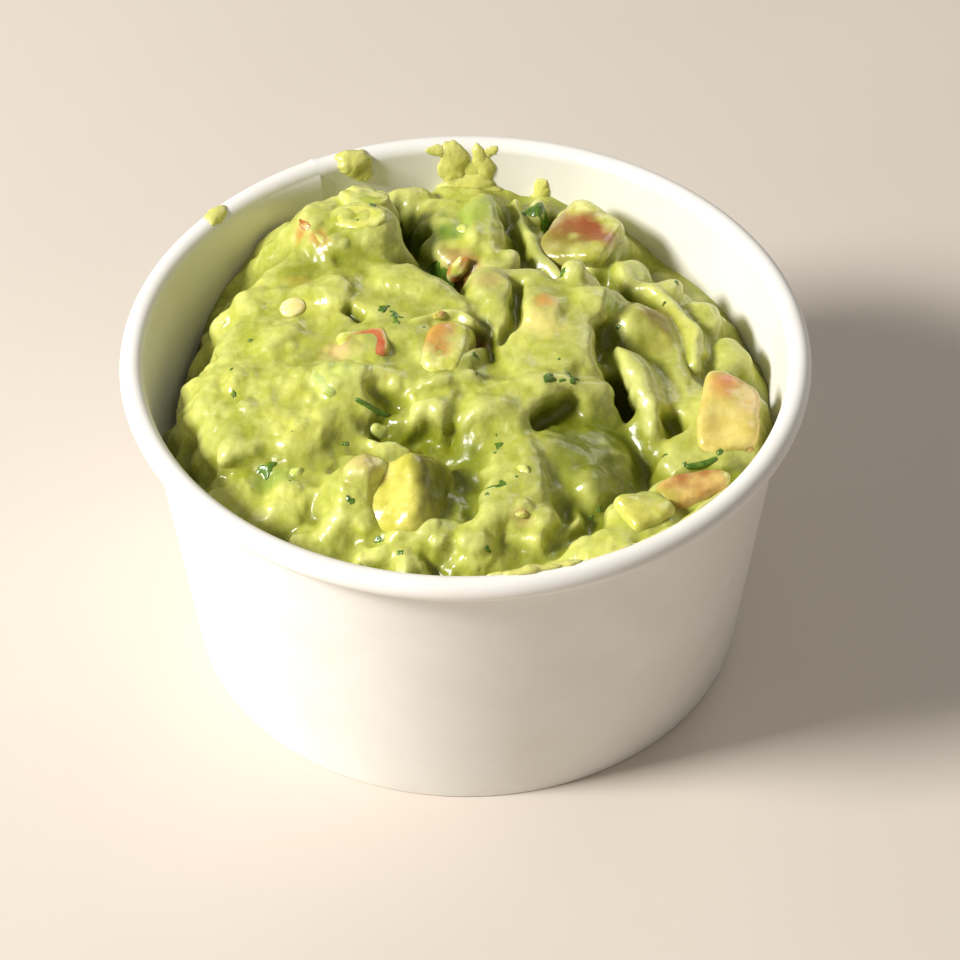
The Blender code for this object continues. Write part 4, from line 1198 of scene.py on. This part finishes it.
def pebble(context, x, y, size, turn, sink, seed, roughness=0.12):
    """A small rounded bit on the heap: an ellipsoid in the surface's own directions, sunk by a share of
    its height and made uneven with noise."""
    origin, along, across, out = tangent_frame(context, x, y)
    c, s = math.cos(math.radians(turn)), math.sin(math.radians(turn))
    axis_a, axis_b = along * c + across * s, across * c - along * s
    share, bearing = polar(9, 28)
    fall = share * math.pi / 2
    halves = []
    for side in (1, -1):
        unit = np.stack([np.sin(fall) * np.cos(bearing), np.sin(fall) * np.sin(bearing),
                         side * np.cos(fall)], -1)
        swell = 1 + roughness * noise(unit * 2 + seed, 1.1, seed)
        unit = unit * swell[..., None] * np.array(size) / 2
        local = (unit[..., :1] * axis_a + unit[..., 1:2] * axis_b + unit[..., 2:] * out)
        halves.append(origin + out * size[2] * (0.5 - sink) + local)
    return lens(halves[0], halves[1])


def cup_point(bearing, reach, lift):
    """A place on the cup: bearing in radians, distance in mm from the top of the rim inwards and down
    the wall, and height above the paper. The rim is a circle and the wall under it a straight line."""
    quarter = math.pi / 2 * ROLL_R
    turn = math.pi / 2 + reach / ROLL_R
    slant = math.hypot(1, LEAN)
    down = (reach - quarter) / slant
    on_roll = reach < quarter
    radius = np.where(on_roll, ROLL_CENTRE_R + (ROLL_R + lift) * np.cos(turn),
                      ROLL_CENTRE_R - ROLL_R - LEAN * down - lift / slant)
    height = np.where(on_roll, ROLL_CENTRE_Z + (ROLL_R + lift) * np.sin(turn),
                      ROLL_CENTRE_Z - down + lift * LEAN / slant)
    return np.stack([radius * np.cos(bearing), radius * np.sin(bearing), height], -1)


def smear(bearing_at, reach_at, half_width, half_length, turn, thickness, seed):
    """A smear of paste on the cup: a lens on an outline made ragged by noise, thick in the middle and
    feathered out at its rim, with its back 0.2 mm inside the paper."""
    share, bearing = polar(12, 56)
    ring = np.stack([np.cos(bearing), np.sin(bearing), 0 * bearing], -1)
    ragged = 1 + 0.30 * noise(ring * 2 + seed, 1.2, seed) + 0.14 * noise(ring * 4 + seed, 1.2, seed)
    a = half_width * share * ragged * np.cos(bearing)
    b = half_length * share * ragged * np.sin(bearing)
    c, s = math.cos(math.radians(turn)), math.sin(math.radians(turn))
    across, down = a * c - b * s, a * s + b * c
    place = np.stack([across, down, 0 * down], -1)
    uneven = 1 + 0.30 * noise(place + seed, 2.0, seed) + 0.10 * noise(place + seed, 0.9, seed)
    lift = thickness * np.sqrt(np.clip(1 - share ** 2, 0, 1)) * uneven
    at = math.radians(bearing_at) - across / INSIDE_TOP_R
    top = cup_point(at, reach_at + down, lift - 0.05 * share)
    bottom = cup_point(at, reach_at + down, -0.05 * share - 0.15 * (1 - share ** 4))
    return lens(top, bottom)


# Coriander leaf bits: x, y, length, width, turn in degrees.
LEAVES = (
    (-4.1, 22.4, 5.0, 3.6, 20), (10.8, 37.0, 4.4, 3.0, -20), (14.5, 15.6, 1.8, 1.6, 0),
    (-11.8, 7.2, 2.2, 1.4, 50), (-9.4, 5.8, 2.8, 1.8, -30), (-9.9, 3.8, 2.2, 1.1, 80),
    (4.4, -17.6, 1.5, 3.0, 0), (4.3, -26.2, 3.2, 2.0, 10), (6.5, -25.8, 2.0, 1.6, -20),
    (3.0, -28.0, 0.8, 0.8, 0),
    (11.4, -7.6, 3.0, 1.8, 30), (14.6, -6.6, 3.2, 2.0, 40),
    (-27.8, -20.2, 2.6, 1.8, 15), (-16.2, -29.2, 1.1, 1.4, 0), (-12.0, -33.4, 1.4, 0.8, -15),
    (-8.9, -36.4, 1.2, 0.9, 0),
)

# Coriander stalks: radius and the points of the route.
STALKS = (
    (0.55, ((35.4, -12.8), (35.7, -15.2), (35.2, -17.4))),
    (0.50, ((35.2, -17.6), (33.0, -18.3), (30.4, -18.9))),
    (0.42, ((-15.6, -10.8), (-13.2, -11.3), (-10.6, -11.0))),
    (0.30, ((-10.3, 6.2), (-9.9, 4.2), (-9.4, 2.6))),
)

# Bits of tomato and avocado that are too small to be solids: x, y, size, turn, how deep they sit, kind.
BITS = (
    (-23.4, 24.4, (3.2, 1.5, 1.2), -60, 0.90, "tomato"), (-21.0, 21.6, (4.0, 1.3, 1.2), -50, 0.90, "tomato"),
    (-1.2, 21.8, (5.0, 2.6, 2.2), 8, 0.62, "tomato"), (7.6, -31.6, (1.6, 1.1, 1.0), 0, 0.60, "tomato"),
    (39.6, -14.6, (2.2, 3.0, 2.0), 0, 0.66, "tomato"), (-3.6, 4.6, (2.2, 1.2, 1.2), 30, 0.60, "tomato"),
    (-11.8, -12.4, (4.2, 2.4, 2.0), 8, 0.55, "avocado"), (-23.5, -21.5, (2.2, 1.6, 1.2), 30, 0.6, "avocado"),
    (-0.5, 28.9, (2.2, 2.6, 1.4), 0, 0.72, "avocado"), (7.9, -23.6, (1.4, 2.2, 1.2), 40, 0.62, "avocado"),
)

# Smears on the cup: bearing, distance from the top of the rim inwards, half width, half length, turn,
# thickness and a number for the ragged outline.
SMEARS = (
    (141.0, 0.2, 1.9, 1.7, 20, 0.6, 1),
    (111.6, 1.8, 2.7, 2.2, 0, 1.1, 2), (109.8, 3.8, 1.7, 1.9, -20, 1.0, 3),
    (92.3, 4.8, 2.3, 3.8, -10, 0.7, 4), (94.6, 2.2, 2.2, 0.9, 18, 0.3, 6),
    (86.6, 4.2, 1.5, 3.0, -24, 0.6, 7), (85.2, 2.2, 1.2, 0.8, -30, 0.3, 8),
    (89.6, 8.6, 5.0, 2.6, 0, 1.2, 9), (89.6, 6.2, 3.6, 2.2, 0, 0.25, 11),
    (75.4, 8.2, 1.2, 2.4, 8, 0.6, 13), (74.6, 10.0, 2.2, 1.6, 0, 0.9, 14),
    (276.0, 2.0, 2.4, 0.9, 0, 0.6, 15), (281.0, 1.4, 3.6, 1.3, 0, 0.8, 16),
    (287.0, 1.6, 2.6, 1.2, 0, 0.7, 17), (296.0, 2.6, 4.5, 1.0, 0, 0.6, 18),
    (305.0, 2.6, 4.5, 0.9, 0, 0.5, 19), (315.0, 2.5, 5.0, 0.9, 0, 0.5, 20),
    (137.0, 15.2, 4.0, 3.4, 30, 0.5, 21), (150.0, 20.0, 3.4, 3.6, 20, 0.5, 22),
)


def wet_leaf():
    """Coriander leaf: thin, deep green and waxy, lighter along its veins, and wet."""
    made, tree, shader, place = new_material("coriander_leaf")
    veins = spots(tree, place, 0.8, 0.35, 0.7, 3.0)
    tree.links.new(mixed(tree, veins, colour("3C6218"), colour("6C8C2C")), shader.inputs["Base Color"])
    shader.inputs["Roughness"].default_value = 0.26
    shader.inputs["Coat Weight"].default_value = 0.3
    shader.inputs["Coat Roughness"].default_value = 0.1
    return made


def seed_coat():
    """Chilli seed: pale cream, smooth and slightly horny, faintly clouded."""
    made, tree, shader, place = new_material("chilli_seed")
    cloudy = spots(tree, place, 1.4, 0.35, 0.65)
    tree.links.new(mixed(tree, cloudy, colour("F0DE8E"), colour("FAEFB4")), shader.inputs["Base Color"])
    shader.inputs["Roughness"].default_value = 0.3
    shader.inputs["Subsurface Weight"].default_value = 0.4
    shader.inputs["Subsurface Radius"].default_value = (1.0, 0.8, 0.4)
    shader.inputs["Subsurface Scale"].default_value = 0.6 * MM
    return made


class GUAC_OT_herbs(bpy.types.Operator):
    """Lay the coriander: torn leaves, stalks and small crumbs"""
    bl_idname = "guac.herbs"
    bl_label = "Coriander"

    def execute(self, context):
        parts = [leaf(context, *spot, seed=100 + i) for i, spot in enumerate(LEAVES)]
        parts += [strand(context, route, radius, 0.35, 140 + i) for i, (radius, route) in enumerate(STALKS)]
        luck = np.random.default_rng(9)
        for i in range(context.scene.guac_pieces.herbs):
            away, bearing = 38 * math.sqrt(luck.random()), luck.uniform(0, 2 * math.pi)
            size = luck.uniform(0.4, 0.9)
            parts.append(leaf(context, away * math.cos(bearing), away * math.sin(bearing), size * 1.4, size,
                              luck.uniform(0, 180), 200 + i))
        vertices, faces = joined(parts)
        piece = add_piece("coriander", vertices, faces, wet_leaf())
        return {"FINISHED"}


class GUAC_OT_seed(bpy.types.Operator):
    """Lay the chilli seed"""
    bl_idname = "guac.seed"
    bl_label = "Chilli seed"

    def execute(self, context):
        part = pebble(context, -24.7, 8.8, (3.7, 3.3, 1.3), 20, 0.3, 3, 0.05)
        vertices, faces = joined([part])
        add_piece("chilli_seed", vertices, faces, seed_coat())
        return {"FINISHED"}


class GUAC_OT_bits(bpy.types.Operator):
    """Press the small bits of tomato and avocado into the paste"""
    bl_idname = "guac.bits"
    bl_label = "Small bits"

    def execute(self, context):
        looks = {"tomato": ("A8562A", "C88444"), "avocado": ("DDE08A", "B4C850")}
        for kind, (light, dark) in looks.items():
            parts = [pebble(context, x, y, size, turn, sink, 300 + i, 0.22)
                     for i, (x, y, size, turn, sink, sort) in enumerate(BITS) if sort == kind]
            vertices, faces = joined(parts)
            material = vegetable_flesh(kind + "_bit_flesh", light, dark, context.scene.guac_paste)
            piece = add_piece(kind + "_bits", vertices, faces, material)
            add_attribute(piece, "film", np.clip(0.45 + 0.9 * noise(vertices, 1.4, 36), 0, 1))
            add_tint(piece, np.zeros((len(vertices), 4)))
        return {"FINISHED"}


class GUAC_OT_smears(bpy.types.Operator):
    """Smear paste on the rim and the inner wall of the cup"""
    bl_idname = "guac.smears"
    bl_label = "Smears"

    def execute(self, context):
        vertices, faces = joined([smear(*values[:6], seed=400 + values[6]) for values in SMEARS])
        material = avocado_paste(context.scene.guac_paste, "smeared_paste")
        piece = add_piece("paste_smears", vertices, faces, material)
        add_attribute(piece, "crest", np.full(len(vertices), 0.4))
        add_attribute(piece, "hollow_shade", np.zeros(len(vertices)))
        tints = np.zeros((len(vertices), 4))
        tints[:, :3] = colour("E6E080")[:3]
        tints[:, 3] = 0.55
        add_tint(piece, tints)
        return {"FINISHED"}


# ---------------------------------------------------------------------------------------------------
# The stage
# ---------------------------------------------------------------------------------------------------

CAMERA_TILT = 43.1                # degrees down from the horizon
CAMERA_ROLL = -0.36
CAMERA_DISTANCE = 0.601           # metres from the aim point
CAMERA_AIM = (0.00194, 0.01222, 0.01306)
CAMERA_LENS = 150.0               # mm, on a 36 mm sensor
KEY_BEARING, KEY_ELEVATION = 198.0, 38.0
KEY_DISTANCE, KEY_SIZE = 0.9, 0.22
WINDOW_BEARING, WINDOW_ELEVATION = 62.0, 34.0
WINDOW_DISTANCE, WINDOW_SIZE = 1.3, 0.55


def direction(bearing, elevation):
    """Unit vector towards a bearing from +X and an elevation above the horizon, in degrees."""
    b, e = math.radians(bearing), math.radians(elevation)
    return Vector((math.cos(b) * math.cos(e), math.sin(b) * math.cos(e), math.sin(e)))


def area_light(name, towards, distance, size, power, tone):
    """A square soft light that shines on the cup from a direction."""
    data = bpy.data.lights.new(name, "AREA")
    data.size = size
    data.energy = power
    data.color = tone
    lamp = bpy.data.objects.new(name, data)
    lamp.location = towards * distance + Vector((0, 0, CUP_HEIGHT * MM / 2))
    lamp.rotation_euler = towards.to_track_quat("Z", "Y").to_euler()
    bpy.context.scene.collection.objects.link(lamp)


class GUAC_OT_stage(bpy.types.Operator):
    """Lay the floor, set the lights and aim the camera"""
    bl_idname = "guac.stage"
    bl_label = "Stage"

    def execute(self, context):
        settings = context.scene.guac_stage
        self.lay_floor(settings)
        area_light("key", direction(KEY_BEARING, KEY_ELEVATION), KEY_DISTANCE, KEY_SIZE, settings.key_power,
                   (1.0, 0.985, 0.96))
        area_light("window", direction(WINDOW_BEARING, WINDOW_ELEVATION), WINDOW_DISTANCE, WINDOW_SIZE,
                   settings.window_power, (1.0, 1.0, 1.0))
        world = bpy.data.worlds.new("studio")
        world.use_nodes = True
        backdrop = world.node_tree.nodes["Background"]
        backdrop.inputs["Color"].default_value = (1.0, 0.95, 0.88, 1.0)
        backdrop.inputs["Strength"].default_value = settings.sky
        context.scene.world = world
        context.scene.view_settings.view_transform = "Standard"
        self.aim_camera(context.scene)
        return {"FINISHED"}

    def lay_floor(self, settings):
        made, tree, shader, place = new_material("matt_painted_board")
        shade = spots(tree, place, 60.0, 0.3, 0.7)
        pale = tuple(channel * 1.03 for channel in settings.floor[:3]) + (1.0,)
        tree.links.new(mixed(tree, shade, settings.floor[:], pale), shader.inputs["Base Color"])
        shader.inputs["Roughness"].default_value = 0.7
        mesh = bpy.data.meshes.new("floor")
        half = 1.5
        mesh.from_pydata([(-half, -half, 0), (half, -half, 0), (half, half, 0), (-half, half, 0)], [],
                         [(0, 1, 2, 3)])
        mesh.materials.append(made)
        floor = bpy.data.objects.new("floor", mesh)
        bpy.context.scene.collection.objects.link(floor)

    def aim_camera(self, scene):
        data = bpy.data.cameras.new("camera")
        data.lens = CAMERA_LENS
        data.sensor_width = 36.0
        data.clip_start = 0.01
        camera = bpy.data.objects.new("camera", data)
        back = direction(-90, CAMERA_TILT)
        camera.rotation_mode = "QUATERNION"
        level = back.to_track_quat("Z", "Y")
        roll = Matrix.Rotation(math.radians(CAMERA_ROLL), 3, "Z").to_quaternion()
        camera.rotation_quaternion = level @ roll
        camera.location = Vector(CAMERA_AIM) + back * CAMERA_DISTANCE
        scene.collection.objects.link(camera)
        scene.camera = camera


# ---------------------------------------------------------------------------------------------------
# Panel and registration
# ---------------------------------------------------------------------------------------------------

STEPS = ("guac.cup_side", "guac.cup_base", "guac.paste", "guac.tomato", "guac.avocado", "guac.pepper",
         "guac.herbs", "guac.seed", "guac.bits", "guac.smears", "guac.stage")
SETTINGS = (("guac_cup", CupSettings), ("guac_paste", PasteSettings), ("guac_pieces", PieceSettings),
            ("guac_stage", StageSettings))


class GUAC_PT_panel(bpy.types.Panel):
    """Lists the settings and the steps in the order in which they are run"""
    bl_idname = "GUAC_PT_panel"
    bl_label = "Guacamole"
    bl_space_type = "VIEW_3D"
    bl_region_type = "UI"
    bl_category = "Guacamole"

    def draw(self, context):
        for name, group in SETTINGS:
            for field in group.__annotations__:
                self.layout.prop(getattr(context.scene, name), field)
        for step in STEPS:
            self.layout.operator(step)


CLASSES = (CupSettings, PasteSettings, PieceSettings, StageSettings, GUAC_OT_cup_side, GUAC_OT_cup_base,
           GUAC_OT_paste, GUAC_OT_tomato, GUAC_OT_avocado, GUAC_OT_pepper, GUAC_OT_herbs, GUAC_OT_seed,
           GUAC_OT_bits, GUAC_OT_smears, GUAC_OT_stage, GUAC_PT_panel)


def register():
    for made in CLASSES:
        bpy.utils.register_class(made)
    for name, group in SETTINGS:
        setattr(bpy.types.Scene, name, bpy.props.PointerProperty(type=group))


def unregister():
    for name, _ in SETTINGS:
        delattr(bpy.types.Scene, name)
    for made in reversed(CLASSES):
        bpy.utils.unregister_class(made)


def main():
    register()
    for step in STEPS:
        group, name = step.split(".")
        getattr(getattr(bpy.ops, group), name)()


if __name__ == "__main__":
    main()
